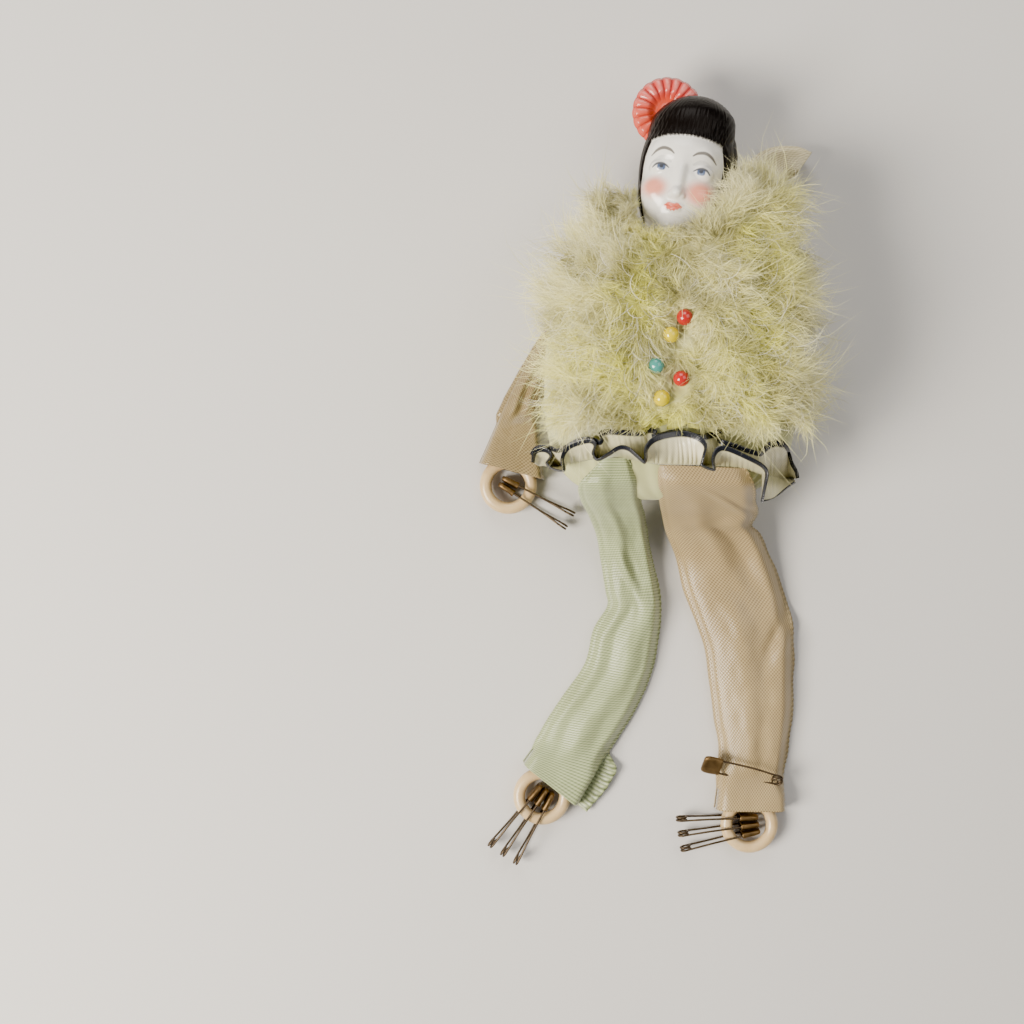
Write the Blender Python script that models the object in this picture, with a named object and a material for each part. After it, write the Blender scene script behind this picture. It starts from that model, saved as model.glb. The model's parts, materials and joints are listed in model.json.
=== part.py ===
"""Porcelain half-doll pincushion, lying on its back: head towards +Y, front towards +Z, metres.

A porcelain head and shoulder flange sits on a stuffed silk cushion. Ribbon arms and legs swing from the
cushion, ivory rings swivel in the ribbon ends, safety pins swing on the rings and open at their coils,
and glass-headed pins slide out of the cushion.
"""

import math

import bmesh
import bpy
from mathutils import Matrix, Vector

MM = 0.001

# Fits
FIT = 0.3 * MM  # between hard pieces that touch
SOFT_FIT = 0.4 * MM  # between cloth, feathers or stuffing and what they touch

# Cushion
CUSHION_LENGTH = 81 * MM
CUSHION_WIDTH = 84 * MM
CUSHION_DEPTH = 46 * MM
CUSHION_X = 3 * MM
CUSHION_TOP_Y = 70 * MM
CUSHION_FLAT = 0.5 * MM  # depth of the flat that it lies on
COVER_THICKNESS = 1.2 * MM
CUSHION_SQUARENESS = 2.6  # exponent of its cross-section
CUSHION_END_SQUARENESS = 3.0  # exponent of its outline
SHOULDER_TAPER = 0.22  # share of the width lost towards the neck
SIDE_DRAW = 0.05  # share of the width drawn in at mid-length
NECK_OPENING = 0.93  # where the cover stops, as a share of the half-length
FILLING_TOP = NECK_OPENING - 0.02
CUSHION_SEGMENTS = 28
CUSHION_RINGS = 11

# Half-doll
HEAD_TILT = math.radians(8)
HAIR_WIDTH, HAIR_HEIGHT, HAIR_DEPTH = 32 * MM, 41 * MM, 31 * MM
HAIR_ABOVE_FLANGE = 26 * MM
FACE_WIDTH, FACE_HEIGHT, FACE_DEPTH = 25.5 * MM, 32 * MM, 28 * MM
FACE_ABOVE_FLANGE = 22.5 * MM
FACE_FORWARD = 3.2 * MM
FACE_RIGHT = -1.5 * MM  # the face looks a little to the left
NECK_RADIUS = 6.5 * MM
NECK_TOP = 13 * MM
NOSE_LENGTH, NOSE_WIDTH = 6 * MM, 3.6 * MM
NOSE_RIGHT, NOSE_DROP, NOSE_SINK = -3.5 * MM, 2 * MM, 0.4 * MM
FLANGE_WIDTH, FLANGE_DEPTH, FLANGE_THICKNESS = 40 * MM, 27 * MM, 2.2 * MM
CASTING_WALL = 2.5 * MM
SEW_HOLE_RADIUS = 1.0 * MM
SEW_HOLE_INSET = 2.4 * MM
COMB_RADIUS = 14 * MM
COMB_THICKNESS = 3.2 * MM
COMB_FLUTES = 11
COMB_FLUTE_DEPTH = 0.9 * MM
COMB_ABOVE_FLANGE = 39 * MM
COMB_LEFT = 7 * MM
COMB_BEHIND = 4 * MM

# Ruffle
RUFFLE_SPAN = 88 * MM
RUFFLE_X = 6.5 * MM
RUFFLE_Y = 2.5 * MM
RUFFLE_WIDTH = 13 * MM
RUFFLE_DROOP = 6 * MM  # how far its ends hang below its middle
RUFFLE_HEIGHT = 6 * MM
RUFFLE_GATHERS = 10
RUFFLE_THICKNESS = 1.0 * MM
RUFFLE_STEPS_PER_GATHER = 6
RUFFLE_FALL = 0.96  # share of the cushion's depth that its ends fall
RUFFLE_FALL_SQUARENESS = 3.2
RUFFLE_FLARE = 0.8  # exponent of the lift from its gathered middle to its edges
RUFFLE_SWAY = 1.5 * MM
RUFFLE_DRAW = 0.12  # share of the width lost where it lifts

# Feather trim, as plain masses
FEATHER_GAP = 15 * MM  # the parting where the pins stand
FEATHER_THICKNESS = 9 * MM
FEATHER_LEFT_X = -38 * MM
FEATHER_RIGHT_X = 52 * MM
FEATHER_BOTTOM_Y = 10 * MM
FEATHER_CLEAR_OF_FLOOR = 13 * MM
FEATHER_SINK = 2 * MM  # how far a band reaches into the cushion before it is cut back
FEATHER_ENDS = 0.75  # share of the full thickness at a band's ends
FEATHER_EDGE = 0.55  # share of the full thickness at a band's sides
FEATHER_STATIONS = 7
FEATHER_ROUNDING = 0.12  # share of a band's width lost at its top and bottom
COLLAR_RADIUS = 8.5 * MM
COLLAR_DROOP = 3 * MM  # how far its ends fall below its middle
COLLAR_X = CUSHION_X + 2 * MM
COLLAR_ENDS = 0.25  # share of the radius that its ends lose, and of the spread that they gain
COLLAR_OUT = 0.9 * COLLAR_RADIUS  # past the flange, sideways
COLLAR_FORWARD = 0.4 * COLLAR_RADIUS  # past the flange, forwards
COLLAR_FROM, COLLAR_TURN = math.radians(190), math.radians(200)
COLLAR_STEPS = 12
COLLAR_SIDES = 10

# Rings
RING_DIAMETER = 19.3 * MM
RING_TUBE = 4.3 * MM
RING_HEM_COVER = 4.6 * MM  # hem edge to ring centre
RING_LIFT = math.radians(25)  # how far a ring tips up in its hem

# Safety pins, closed
PIN_LENGTH = 27 * MM
PIN_WIRE = 0.8 * MM
PIN_COIL = 4.0 * MM  # outer diameter
PIN_SIDES_APART = 6.0 * MM
PIN_TAPER = 10.5 * MM  # run from the parallel sides to the end of the coil
PIN_STRAIGHT = PIN_LENGTH - PIN_TAPER
CAP_LENGTH = 6.0 * MM
CAP_SHEET = 0.3 * MM
COIL_ROOM_SIDES = 12
PIN_FAN = math.radians(6)

# Glass-headed pins
GLASS_HEAD = 5.0 * MM
SHAFT_LENGTH = 26 * MM
SHAFT_DIAMETER = 0.7 * MM
SHAFT_POINT = 0.1 * MM
HEAD_STAND_OFF = 2.6 * MM

# Ribbon sections
RIBBON_FLOOR = 0.3 * MM
HEM_WALL = 0.7 * MM

RING_RADIUS = (RING_DIAMETER - RING_TUBE) / 2
CAP_DEPTH = PIN_SIDES_APART + PIN_WIRE + FIT + CAP_SHEET
CAP_THICKNESS = PIN_WIRE + 2 * FIT + 2 * CAP_SHEET
RING_Z = CAP_SHEET + FIT + PIN_WIRE / 2 + PIN_SIDES_APART / 2
CUSHION_Z = CUSHION_DEPTH / 2 - CUSHION_FLAT
CUSHION_Y = CUSHION_TOP_Y - CUSHION_LENGTH / 2

# Where the limbs are sewn on
LEFT_SHOULDER_DROP = 22 * MM  # below the cushion's top
RIGHT_SHOULDER_DROP = 13 * MM
SHOULDER_INSET = 9 * MM  # in from the cushion's widest line
CUSHION_END = 0.985  # share of the half-length where its bottom is flat
HIP_Y = CUSHION_Y - CUSHION_END * CUSHION_LENGTH / 2 - SOFT_FIT
HIP = Vector((CUSHION_X, HIP_Y))
SHOULDER_OUT = CUSHION_WIDTH / 2 - SHOULDER_INSET
LEFT_SHOULDER = Vector((CUSHION_X - SHOULDER_OUT, CUSHION_TOP_Y - LEFT_SHOULDER_DROP))
RIGHT_SHOULDER = Vector((CUSHION_X + SHOULDER_OUT, CUSHION_TOP_Y - RIGHT_SHOULDER_DROP))

# Each ribbon: stations of (left edge x, y), (right edge x, y), underside, thickness, in millimetres from
# where it is sewn on
LEG_LEFT = [
    ((-27, 0), (-10, 0), 25, 8),
    ((-21.5, -7.7), (-6.8, -7.7), 12.5, 8.5),
    ((-19.6, -18.2), (-4, -17.7), 2.4, 8.5),
    ((-17.5, -30.2), (-2, -30.2), 0.3, 8),
    ((-19.5, -39.2), (-1.4, -39.2), 0.3, 8.5),
    ((-23.5, -51.2), (-2.6, -50.2), 0.3, 7.5),
    ((-30, -62.2), (-6, -60.2), 0.3, 7.5),
    ((-36, -71.2), (-11, -71.7), 0.3, 8),
]
LEG_RIGHT = [
    ((-2, 0), (27.5, 0), 25, 8),
    ((0.7, -8.2), (30.7, -8.2), 12.5, 8.5),
    ((5.3, -18.7), (35, -18.2), 2.4, 8.5),
    ((8, -29.2), (39, -29.2), 0.3, 8),
    ((12.4, -41.2), (42, -41.2), 0.3, 8),
    ((15.5, -53.2), (42.5, -53.2), 0.3, 7.5),
    ((17.2, -67.2), (42.3, -67.2), 0.3, 7.5),
    ((18.5, -80.2), (40.4, -80.2), 0.3, 8),
]
ARM_LEFT = [
    ((-3.5, 3), (4, -1), 0.3, 5.5),
    ((-10, -9.5), (-1.5, -11), 0.3, 6.5),
    ((-17, -21), (-6.2, -21), 0.3, 7),
    ((-22, -33), (-8.3, -32), 0.3, 8),
]
ARM_RIGHT = [
    ((-2.4, 0), (8, -2), 8, 6),
    ((-4, 11), (11, 10), 3, 7),
    ((-6.5, 25), (13, 24), 0.3, 8.5),
    ((-8, 36), (14.5, 36), 0.3, 10),
    ((-7, 44), (13.5, 44), 0.3, 10),
    ((-4, 48), (10, 48), 0.3, 7),
]

# The lengthwise folds on top of each ribbon: place across it, and share of its thickness
LEG_LEFT_FOLDS = ((0, 0.45), (0.14, 0.8), (0.3, 1.0), (0.5, 0.72), (0.68, 0.9), (0.88, 0.7), (1, 0.4))
LEG_RIGHT_FOLDS = ((0, 0.45), (0.22, 0.94), (0.38, 0.74), (0.55, 1.0), (0.69, 0.76), (0.82, 0.9), (1, 0.4))
ARM_FOLDS = ((0, 0.45), (0.16, 0.86), (0.36, 0.74), (0.52, 1.0), (0.74, 0.78), (0.9, 0.9), (1, 0.45))

# Rings: centre in the plan, and the direction from it to the ribbon
RING_LEG_LEFT = (HIP + Vector((-40.4, -97.4)) * MM, math.radians(52))
RING_LEG_RIGHT = (HIP + Vector((28.1, -106.7)) * MM, math.radians(90))
RING_ARM_LEFT = (LEFT_SHOULDER + Vector((-18.5, -53.5)) * MM, math.radians(75))

# The safety pin through the right leg: middle of its cap's place, heading and roll
LEG_PIN = HIP + Vector((22.5, -88.2)) * MM
LEG_PIN_HEIGHT = 8.2 * MM
LEG_PIN_HEADING = math.radians(-12.6)
LEG_PIN_ROLL = math.radians(130)

# Glass pins: place on the cushion's front, and lean of the shaft in plan
GLASS_PINS = {
    "pin_red_upper": ((4.0 * MM, 43.6 * MM), (0.10, 0.10), (0.55, 0.03, 0.03)),
    "pin_yellow_upper": ((0.6 * MM, 38.0 * MM), (-0.06, 0.16), (0.85, 0.62, 0.08)),
    "pin_teal": ((-3.6 * MM, 29.4 * MM), (-0.10, 0.04), (0.05, 0.30, 0.28)),
    "pin_red_lower": ((3.0 * MM, 26.0 * MM), (0.08, -0.06), (0.60, 0.03, 0.03)),
    "pin_yellow_lower": ((-2.2 * MM, 20.6 * MM), (-0.04, -0.14), (0.85, 0.62, 0.08)),
}

PARTS = "porcelain_half_doll_pincushion"
ROOT = "doll"
CUTTERS = "cutters"


def start_scene():
    """Clears the scene and returns the empty that everything hangs from."""
    for obj in list(bpy.data.objects):
        bpy.data.objects.remove(obj)
    for name in (PARTS, CUTTERS):
        bpy.context.scene.collection.children.link(bpy.data.collections.new(name))
    root = bpy.data.objects.new(ROOT, None)
    bpy.data.collections[PARTS].objects.link(root)
    return root


def centre_on_origin(root):
    """Moves the whole doll so that the middle of its underside is the origin."""
    bpy.context.view_layer.update()
    graph = bpy.context.evaluated_depsgraph_get()
    corners = []
    for obj in bpy.data.collections[PARTS].objects:
        if obj.type == "MESH":
            solid = obj.evaluated_get(graph)
            corners += [solid.matrix_world @ vert.co for vert in solid.data.vertices]
    low = [min(corner[axis] for corner in corners) for axis in range(3)]
    high = [max(corner[axis] for corner in corners) for axis in range(3)]
    root.location = (-(low[0] + high[0]) / 2, -(low[1] + high[1]) / 2, -low[2])


def material(name, colour, roughness, metallic=0.0):
    made = bpy.data.materials.new(name)
    made.use_nodes = True
    shader = made.node_tree.nodes["Principled BSDF"]
    shader.inputs["Base Color"].default_value = (*colour, 1)
    shader.inputs["Roughness"].default_value = roughness
    shader.inputs["Metallic"].default_value = metallic
    made.diffuse_color = (*colour, 1)
    return made


def place(name, mesh, finish, parent=None, matrix=None):
    """A part made from a mesh; matrix is its place in the world."""
    obj = bpy.data.objects.new(name, mesh)
    if finish is not None and not mesh.materials:
        mesh.materials.append(finish)
    bpy.data.collections[PARTS].objects.link(obj)
    obj.matrix_world = matrix or Matrix()
    attach(obj, parent or bpy.data.objects[ROOT])
    return obj


def attach(obj, parent):
    """Parents an object to an empty and leaves it where it is."""
    bpy.context.view_layer.update()
    obj.parent = parent
    obj.matrix_parent_inverse = parent.matrix_world.inverted()


def pivot(name, matrix, parent=None):
    """An empty on a joint's axis."""
    empty = bpy.data.objects.new(name, None)
    bpy.data.collections[PARTS].objects.link(empty)
    empty.empty_display_size = 5 * MM
    empty.matrix_world = matrix
    attach(empty, parent or bpy.data.objects[ROOT])
    bpy.context.view_layer.update()
    return empty


def cutter(name, mesh, matrix=None):
    obj = bpy.data.objects.new(name, mesh)
    bpy.data.collections[CUTTERS].objects.link(obj)
    obj.matrix_world = matrix or Matrix()
    obj.hide_render = True
    obj.display_type = "WIRE"
    attach(obj, bpy.data.objects[ROOT])
    return obj


def combine(obj, other, operation="DIFFERENCE"):
    modifier = obj.modifiers.new(operation.lower(), "BOOLEAN")
    modifier.operation = operation
    modifier.object = other


def loft_mesh(name, rings):
    """A closed mesh through rings of equally many points."""
    bm = bmesh.new()
    rows = [[bm.verts.new(point) for point in ring] for ring in rings]
    for near, far in zip(rows, rows[1:]):
        for i in range(len(near)):
            j = (i + 1) % len(near)
            bm.faces.new((near[i], near[j], far[j], far[i]))
    bm.faces.new(rows[0][::-1])
    bm.faces.new(rows[-1])
    return finished_mesh(name, bm)


def finished_mesh(name, bm):
    bmesh.ops.recalc_face_normals(bm, faces=bm.faces)
    mesh = bpy.data.meshes.new(name)
    bm.to_mesh(mesh)
    bm.free()
    mesh.shade_smooth()
    mesh.set_sharp_from_angle(angle=math.radians(40))
    return mesh


def ellipsoid_mesh(name, size, segments=24, rings=14):
    bm = bmesh.new()
    bmesh.ops.create_uvsphere(bm, u_segments=segments, v_segments=rings, radius=0.5)
    bmesh.ops.scale(bm, vec=size, verts=bm.verts)
    return finished_mesh(name, bm)


def rod_mesh(name, radius, length, segments=12, far_radius=None):
    """A cylinder or cone along Z, centred on the origin."""
    bm = bmesh.new()
    far = radius if far_radius is None else far_radius
    bmesh.ops.create_cone(bm, cap_ends=True, segments=segments, radius1=radius, radius2=far, depth=length)
    return finished_mesh(name, bm)


def wire_mesh(name, points, diameter):
    """A bent wire with closed ends."""
    curve = bpy.data.curves.new(name, "CURVE")
    curve.dimensions = "3D"
    curve.bevel_depth = diameter / 2
    curve.bevel_resolution = 1
    curve.use_fill_caps = True
    spline = curve.splines.new("POLY")
    spline.points.add(len(points) - 1)
    for target, point in zip(spline.points, points):
        target.co = (*point, 1)
    guide = bpy.data.objects.new(name, curve)
    bpy.context.scene.collection.objects.link(guide)
    graph = bpy.context.evaluated_depsgraph_get()
    mesh = bpy.data.meshes.new_from_object(guide.evaluated_get(graph))
    bpy.data.objects.remove(guide)
    bm = bmesh.new()
    bm.from_mesh(mesh)
    bpy.data.meshes.remove(mesh)
    bmesh.ops.remove_doubles(bm, verts=bm.verts, dist=1e-6)
    return finished_mesh(name, bm)


def swollen(obj, gap):
    """A cutter a little larger than a part, so that its neighbour keeps a gap to it."""
    bpy.context.view_layer.update()
    graph = bpy.context.evaluated_depsgraph_get()
    mesh = bpy.data.meshes.new_from_object(obj.evaluated_get(graph))
    bm = bmesh.new()
    bm.from_mesh(mesh)
    bm.normal_update()
    moved = [(vert, vert.co + vert.normal * gap) for vert in bm.verts]
    for vert, spot in moved:
        vert.co = spot
    bm.to_mesh(mesh)
    bm.free()
    return cutter(obj.name + "_clearance", mesh, obj.matrix_world.copy())


def superellipse(half_width, half_height, exponent, count):
    """Points round a squared ellipse."""
    points = []
    for i in range(count):
        angle = 2 * math.pi * i / count
        c, s = math.cos(angle), math.sin(angle)
        points.append((
            half_width * math.copysign(abs(c) ** (2 / exponent), c),
            half_height * math.copysign(abs(s) ** (2 / exponent), s),
        ))
    return points


def cushion_halves(along):
    """Half-width and half-depth of the cushion at a share of its half-length, -1 to 1."""
    fullness = max(1 - abs(along) ** CUSHION_END_SQUARENESS, 0) ** (1 / CUSHION_END_SQUARENESS)
    taper = 1 - SHOULDER_TAPER * max(along, 0) ** 2
    draw = 1 - SIDE_DRAW * (1 - along**2)
    return CUSHION_WIDTH / 2 * fullness * taper * draw, CUSHION_DEPTH / 2 * fullness


def cushion_along(y):
    return (y - CUSHION_Y) / (CUSHION_LENGTH / 2)


def cushion_front(x, y):
    """Height of the cushion's front at a place in the plan."""
    half_width, half_depth = cushion_halves(cushion_along(y))
    across = min(abs(x - CUSHION_X) / max(half_width, MM), 1)
    return CUSHION_Z + half_depth * (1 - across**CUSHION_SQUARENESS) ** (1 / CUSHION_SQUARENESS)


def cushion_ring(along, inset):
    half_width, half_depth = cushion_halves(along)
    y = CUSHION_Y + along * (CUSHION_LENGTH / 2 - inset)
    outline = superellipse(half_width - inset, half_depth - inset, CUSHION_SQUARENESS, CUSHION_SEGMENTS)
    return [(CUSHION_X + x, y, max(CUSHION_Z + z, inset)) for x, z in outline]


def cushion_stations(last):
    """Shares of the half-length, closer together towards the round ends."""
    first = math.acos(-CUSHION_END)
    turn = first - math.acos(last)
    return [math.cos(first - turn * i / CUSHION_RINGS) for i in range(CUSHION_RINGS + 1)]


def make_cushion():
    outer = [cushion_ring(along, 0) for along in cushion_stations(NECK_OPENING)]
    inner = [cushion_ring(along, COVER_THICKNESS) for along in cushion_stations(NECK_OPENING)]
    silk = material("silk", (0.62, 0.62, 0.38), 0.6)
    cover = place("cushion_cover", loft_mesh("cushion_cover", outer + inner[::-1]), silk)
    inset = COVER_THICKNESS + SOFT_FIT
    filling_rings = [cushion_ring(along, inset) for along in cushion_stations(FILLING_TOP)]
    stuffing = material("stuffing", (0.75, 0.70, 0.60), 0.95)
    filling = place("cushion_filling", loft_mesh("cushion_filling", filling_rings), stuffing)
    return cover, filling


def flange_y():
    return CUSHION_Y + NECK_OPENING * CUSHION_LENGTH / 2 + FIT


def head_point(right, up, forward):
    """A point of the head's own tilted frame, in the world."""
    x = CUSHION_X + right * math.cos(HEAD_TILT) + up * math.sin(HEAD_TILT)
    y = flange_y() + up * math.cos(HEAD_TILT) - right * math.sin(HEAD_TILT)
    return Vector((x, y, CUSHION_Z + forward))


def head_place(right, up, forward, turn=None):
    tilt = Matrix.Rotation(-HEAD_TILT, 4, "Z")
    return Matrix.Translation(head_point(right, up, forward)) @ tilt @ (turn or Matrix())


def bust_mesh():
    """Shoulder flange, bust and neck as one loft along Y."""
    rim = 2 * SEW_HOLE_INSET
    stations = [
        (0, FLANGE_WIDTH / 2, FLANGE_DEPTH / 2),
        (FLANGE_THICKNESS, FLANGE_WIDTH / 2, FLANGE_DEPTH / 2),
        (FLANGE_THICKNESS * 1.2, FLANGE_WIDTH / 2 - rim, FLANGE_DEPTH / 2 - rim),
        (NECK_TOP * 0.45, NECK_RADIUS * 1.6, NECK_RADIUS * 1.15),
        (NECK_TOP * 0.75, NECK_RADIUS, NECK_RADIUS),
        (NECK_TOP + NECK_RADIUS, NECK_RADIUS, NECK_RADIUS),
    ]
    rings = []
    for up, half_width, half_depth in stations:
        centre = head_point(0, up, 0)
        rings.append([(centre.x + x, flange_y() + up, centre.z + z)
                      for x, z in superellipse(half_width, half_depth, 2, 24)])
    return loft_mesh("bust", rings)


def comb_mesh():
    """A scalloped disc, later half hidden in the hair."""
    bm = bmesh.new()
    count = 4 * 2 * COMB_FLUTES
    rim = []
    for i in range(count):
        angle = 2 * math.pi * i / count
        lobe = abs(math.sin(angle * COMB_FLUTES))
        radius = COMB_RADIUS - COMB_FLUTE_DEPTH * (1 - lobe)
        rim.append(bm.verts.new((radius * math.cos(angle), radius * math.sin(angle), -COMB_THICKNESS / 2)))
    face = bm.faces.new(rim)
    raised = bmesh.ops.extrude_face_region(bm, geom=[face])["geom"]
    front = [vert for vert in raised if isinstance(vert, bmesh.types.BMVert)]
    bmesh.ops.translate(bm, vec=(0, 0, COMB_THICKNESS), verts=front)
    return finished_mesh("comb", bm)


def make_half_doll():
    porcelain = material("porcelain", (0.85, 0.84, 0.82), 0.15)
    head = place("half_doll", bust_mesh(), porcelain)
    hair = ellipsoid_mesh("hair", (HAIR_WIDTH, HAIR_HEIGHT, HAIR_DEPTH))
    combine(head, cutter("hair", hair, head_place(0, HAIR_ABOVE_FLANGE, 0)), "UNION")
    face = ellipsoid_mesh("face", (FACE_WIDTH, FACE_HEIGHT, FACE_DEPTH))
    face_place = head_place(FACE_RIGHT, FACE_ABOVE_FLANGE, FACE_FORWARD)
    combine(head, cutter("face", face, face_place), "UNION")
    nose = ellipsoid_mesh("nose", (NOSE_WIDTH, NOSE_LENGTH, NOSE_WIDTH), 10, 6)
    nose_forward = FACE_FORWARD + FACE_DEPTH / 2 - NOSE_SINK
    nose_place = head_place(NOSE_RIGHT, FACE_ABOVE_FLANGE - NOSE_DROP, nose_forward)
    combine(head, cutter("nose", nose, nose_place), "UNION")
    comb_place = head_place(-COMB_LEFT, COMB_ABOVE_FLANGE, -COMB_BEHIND)
    combine(head, cutter("comb", comb_mesh(), comb_place), "UNION")
    bore_length = HAIR_ABOVE_FLANGE
    along_y = Matrix.Rotation(math.radians(-90), 4, "X")
    bore = rod_mesh("bore", NECK_RADIUS - CASTING_WALL, 2 * bore_length, 16)
    combine(head, cutter("bore", bore, head_place(0, 0, 0, along_y)))
    sides = ((1, 0), (-1, 0), (0, 1), (0, -1))
    for number, (right, forward) in enumerate(sides):
        hole = rod_mesh("sew_hole", SEW_HOLE_RADIUS, 3 * FLANGE_THICKNESS, 10)
        x = CUSHION_X + right * (FLANGE_WIDTH / 2 - SEW_HOLE_INSET)
        z = CUSHION_Z + forward * (FLANGE_DEPTH / 2 - SEW_HOLE_INSET)
        spot = Matrix.Translation((x, flange_y() + FLANGE_THICKNESS / 2, z)) @ along_y
        combine(head, cutter(f"sew_hole_{number}", hole, spot))
    return head


def make_ruffle():
    """A gathered ribbon that arches over the cushion's lower front, wavy along both edges."""
    half_depth = cushion_halves(cushion_along(RUFFLE_Y))[1] + SOFT_FIT
    rise = cushion_halves(cushion_along(RUFFLE_Y + RUFFLE_WIDTH / 2))[1] + 3 * SOFT_FIT - half_depth
    steps = RUFFLE_GATHERS * RUFFLE_STEPS_PER_GATHER
    rows = (-1, -0.5, 0, 0.5, 1)
    rings = []
    for i in range(steps + 1):
        share = i / steps
        x = (share - 0.5) * RUFFLE_SPAN
        across = abs(2 * share - 1)
        fall = RUFFLE_FALL * across**RUFFLE_FALL_SQUARENESS
        arch = half_depth * (1 - fall) ** (1 / CUSHION_SQUARENESS)
        wave = 0.5 - 0.5 * math.cos(2 * math.pi * RUFFLE_GATHERS * share)
        droop = RUFFLE_DROOP * across**RUFFLE_FALL_SQUARENESS
        lower, upper = [], []
        for row in rows:
            lift = rise * max(row, 0) + RUFFLE_HEIGHT * wave * abs(row) ** RUFFLE_FLARE
            sway = RUFFLE_SWAY * row * math.sin(2 * math.pi * RUFFLE_GATHERS * share)
            height = CUSHION_Z + arch + SOFT_FIT + lift
            y = RUFFLE_Y - droop + row * RUFFLE_WIDTH / 2 * (1 - RUFFLE_DRAW * wave)
            lower.append((RUFFLE_X + x + sway, y, height))
            upper.append((RUFFLE_X + x + sway, y, height + RUFFLE_THICKNESS))
        rings.append(lower + upper[::-1])
    satin = material("satin", (0.62, 0.62, 0.48), 0.4)
    return place("ruffle", loft_mesh("ruffle", rings), satin)


def collar_bottom():
    return flange_y() + FLANGE_THICKNESS - COLLAR_DROOP - COLLAR_RADIUS


def feather_band(name, near_x, far_x, finish):
    """A soft mass down one side of the front, from the parting round the cushion's side."""
    rings = []
    for i in range(FEATHER_STATIONS):
        share = i / (FEATHER_STATIONS - 1)
        y = FEATHER_BOTTOM_Y + share * (collar_bottom() - SOFT_FIT - FEATHER_BOTTOM_Y)
        full = FEATHER_ENDS + (1 - FEATHER_ENDS) * math.sin(math.pi * share)
        reach = (far_x - near_x) * (1 - FEATHER_ROUNDING * (2 * share - 1) ** 4)
        top, bottom = [], []
        for j in range(FEATHER_STATIONS):
            across = j / (FEATHER_STATIONS - 1)
            x = near_x + reach * across
            under = max(cushion_front(x, y), FEATHER_CLEAR_OF_FLOOR)
            swell = FEATHER_EDGE + (1 - FEATHER_EDGE) * math.sin(math.pi * across)
            top.append((x, y, under + FEATHER_THICKNESS * full * swell))
            bottom.append((x, y, under - FEATHER_SINK))
        rings.append(top + bottom[::-1])
    return place(name, loft_mesh(name, rings), finish)


def collar_mesh():
    """A soft roll that runs from shoulder to shoulder over the front of the neck."""
    rings = []
    half_width = FLANGE_WIDTH / 2 + COLLAR_OUT
    half_depth = FLANGE_DEPTH / 2 + COLLAR_FORWARD
    for i in range(COLLAR_STEPS + 1):
        angle = COLLAR_FROM - COLLAR_TURN * i / COLLAR_STEPS
        ends = abs(2 * i / COLLAR_STEPS - 1)
        radius = COLLAR_RADIUS * (1 - COLLAR_ENDS * ends**2)
        out = Vector((math.cos(angle), 0, math.sin(angle)))
        stretch = 1 + COLLAR_ENDS * ends**2
        centre = Vector((
            COLLAR_X + half_width * stretch * out.x,
            flange_y() + FLANGE_THICKNESS - COLLAR_DROOP * ends,
            CUSHION_Z + half_depth * out.z,
        ))
        ring = [centre + out * radius * math.cos(t) + Vector((0, radius * math.sin(t), 0))
                for t in (2 * math.pi * k / COLLAR_SIDES for k in range(COLLAR_SIDES))]
        rings.append(ring)
    return loft_mesh("feather_collar", rings)


def make_feathers(head):
    down = material("marabou", (0.70, 0.74, 0.42), 0.9)
    parting = FEATHER_GAP / 2
    left = feather_band("feather_front_left", -parting, FEATHER_LEFT_X, down)
    right = feather_band("feather_front_right", parting, FEATHER_RIGHT_X, down)
    collar = place("feather_collar", collar_mesh(), down)
    swollen_rings = [cushion_ring(along, -SOFT_FIT) for along in cushion_stations(NECK_OPENING)]
    cushion_clearance = cutter("cushion_clearance", loft_mesh("cushion_clearance", swollen_rings))
    for mass in (left, right, collar):
        combine(mass, cushion_clearance)
    combine(collar, swollen(head, SOFT_FIT))


def ribbon_section(left, right, underside, thickness, folds):
    """One cross-section of a folded ribbon, with its lengthwise folds on top."""
    ring = []
    for across, height in folds:
        spot = left.lerp(right, across)
        ring.append((spot.x, spot.y, underside + thickness * height))
    for across in (0.94, 0.5, 0.06):
        spot = left.lerp(right, across)
        ring.append((spot.x, spot.y, underside))
    return ring


def hem_sections(ring_centre, ring_turn):
    """The last stations of a ribbon that holds a ring."""
    centre = Vector(ring_centre)
    towards = Vector((math.cos(ring_turn), math.sin(ring_turn)))
    side = Vector((towards.y, -towards.x))
    half = RING_DIAMETER / 2 + FIT + HEM_WALL
    seam = RING_RADIUS + RING_TUBE / 2 + FIT + 2 * HEM_WALL
    top = RING_Z + RING_TUBE / 2 + FIT + HEM_WALL
    flare = (RING_RADIUS - RING_HEM_COVER) * math.tan(RING_LIFT)
    stations = []
    for away, height in ((seam, top), (RING_RADIUS, top + HEM_WALL), (RING_HEM_COVER, top + flare)):
        middle = centre + towards * away
        stations.append((middle - side * half, middle + side * half, height))
    return stations


def hem_ring_points(station):
    """A near-square section, so that the hem's walls stay even."""
    left, right, height = station
    folds = ((0, 0.9), (0.12, 1.0), (0.36, 0.97), (0.52, 1.0), (0.74, 0.97), (0.88, 1.0), (1, 0.9))
    ring = []
    for across, rise in folds:
        spot = left.lerp(right, across)
        ring.append((spot.x, spot.y, RIBBON_FLOOR + (height - RIBBON_FLOOR) * rise))
    for across in (1, 0.5, 0):
        spot = left.lerp(right, across)
        ring.append((spot.x, spot.y, RIBBON_FLOOR))
    return ring


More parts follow.
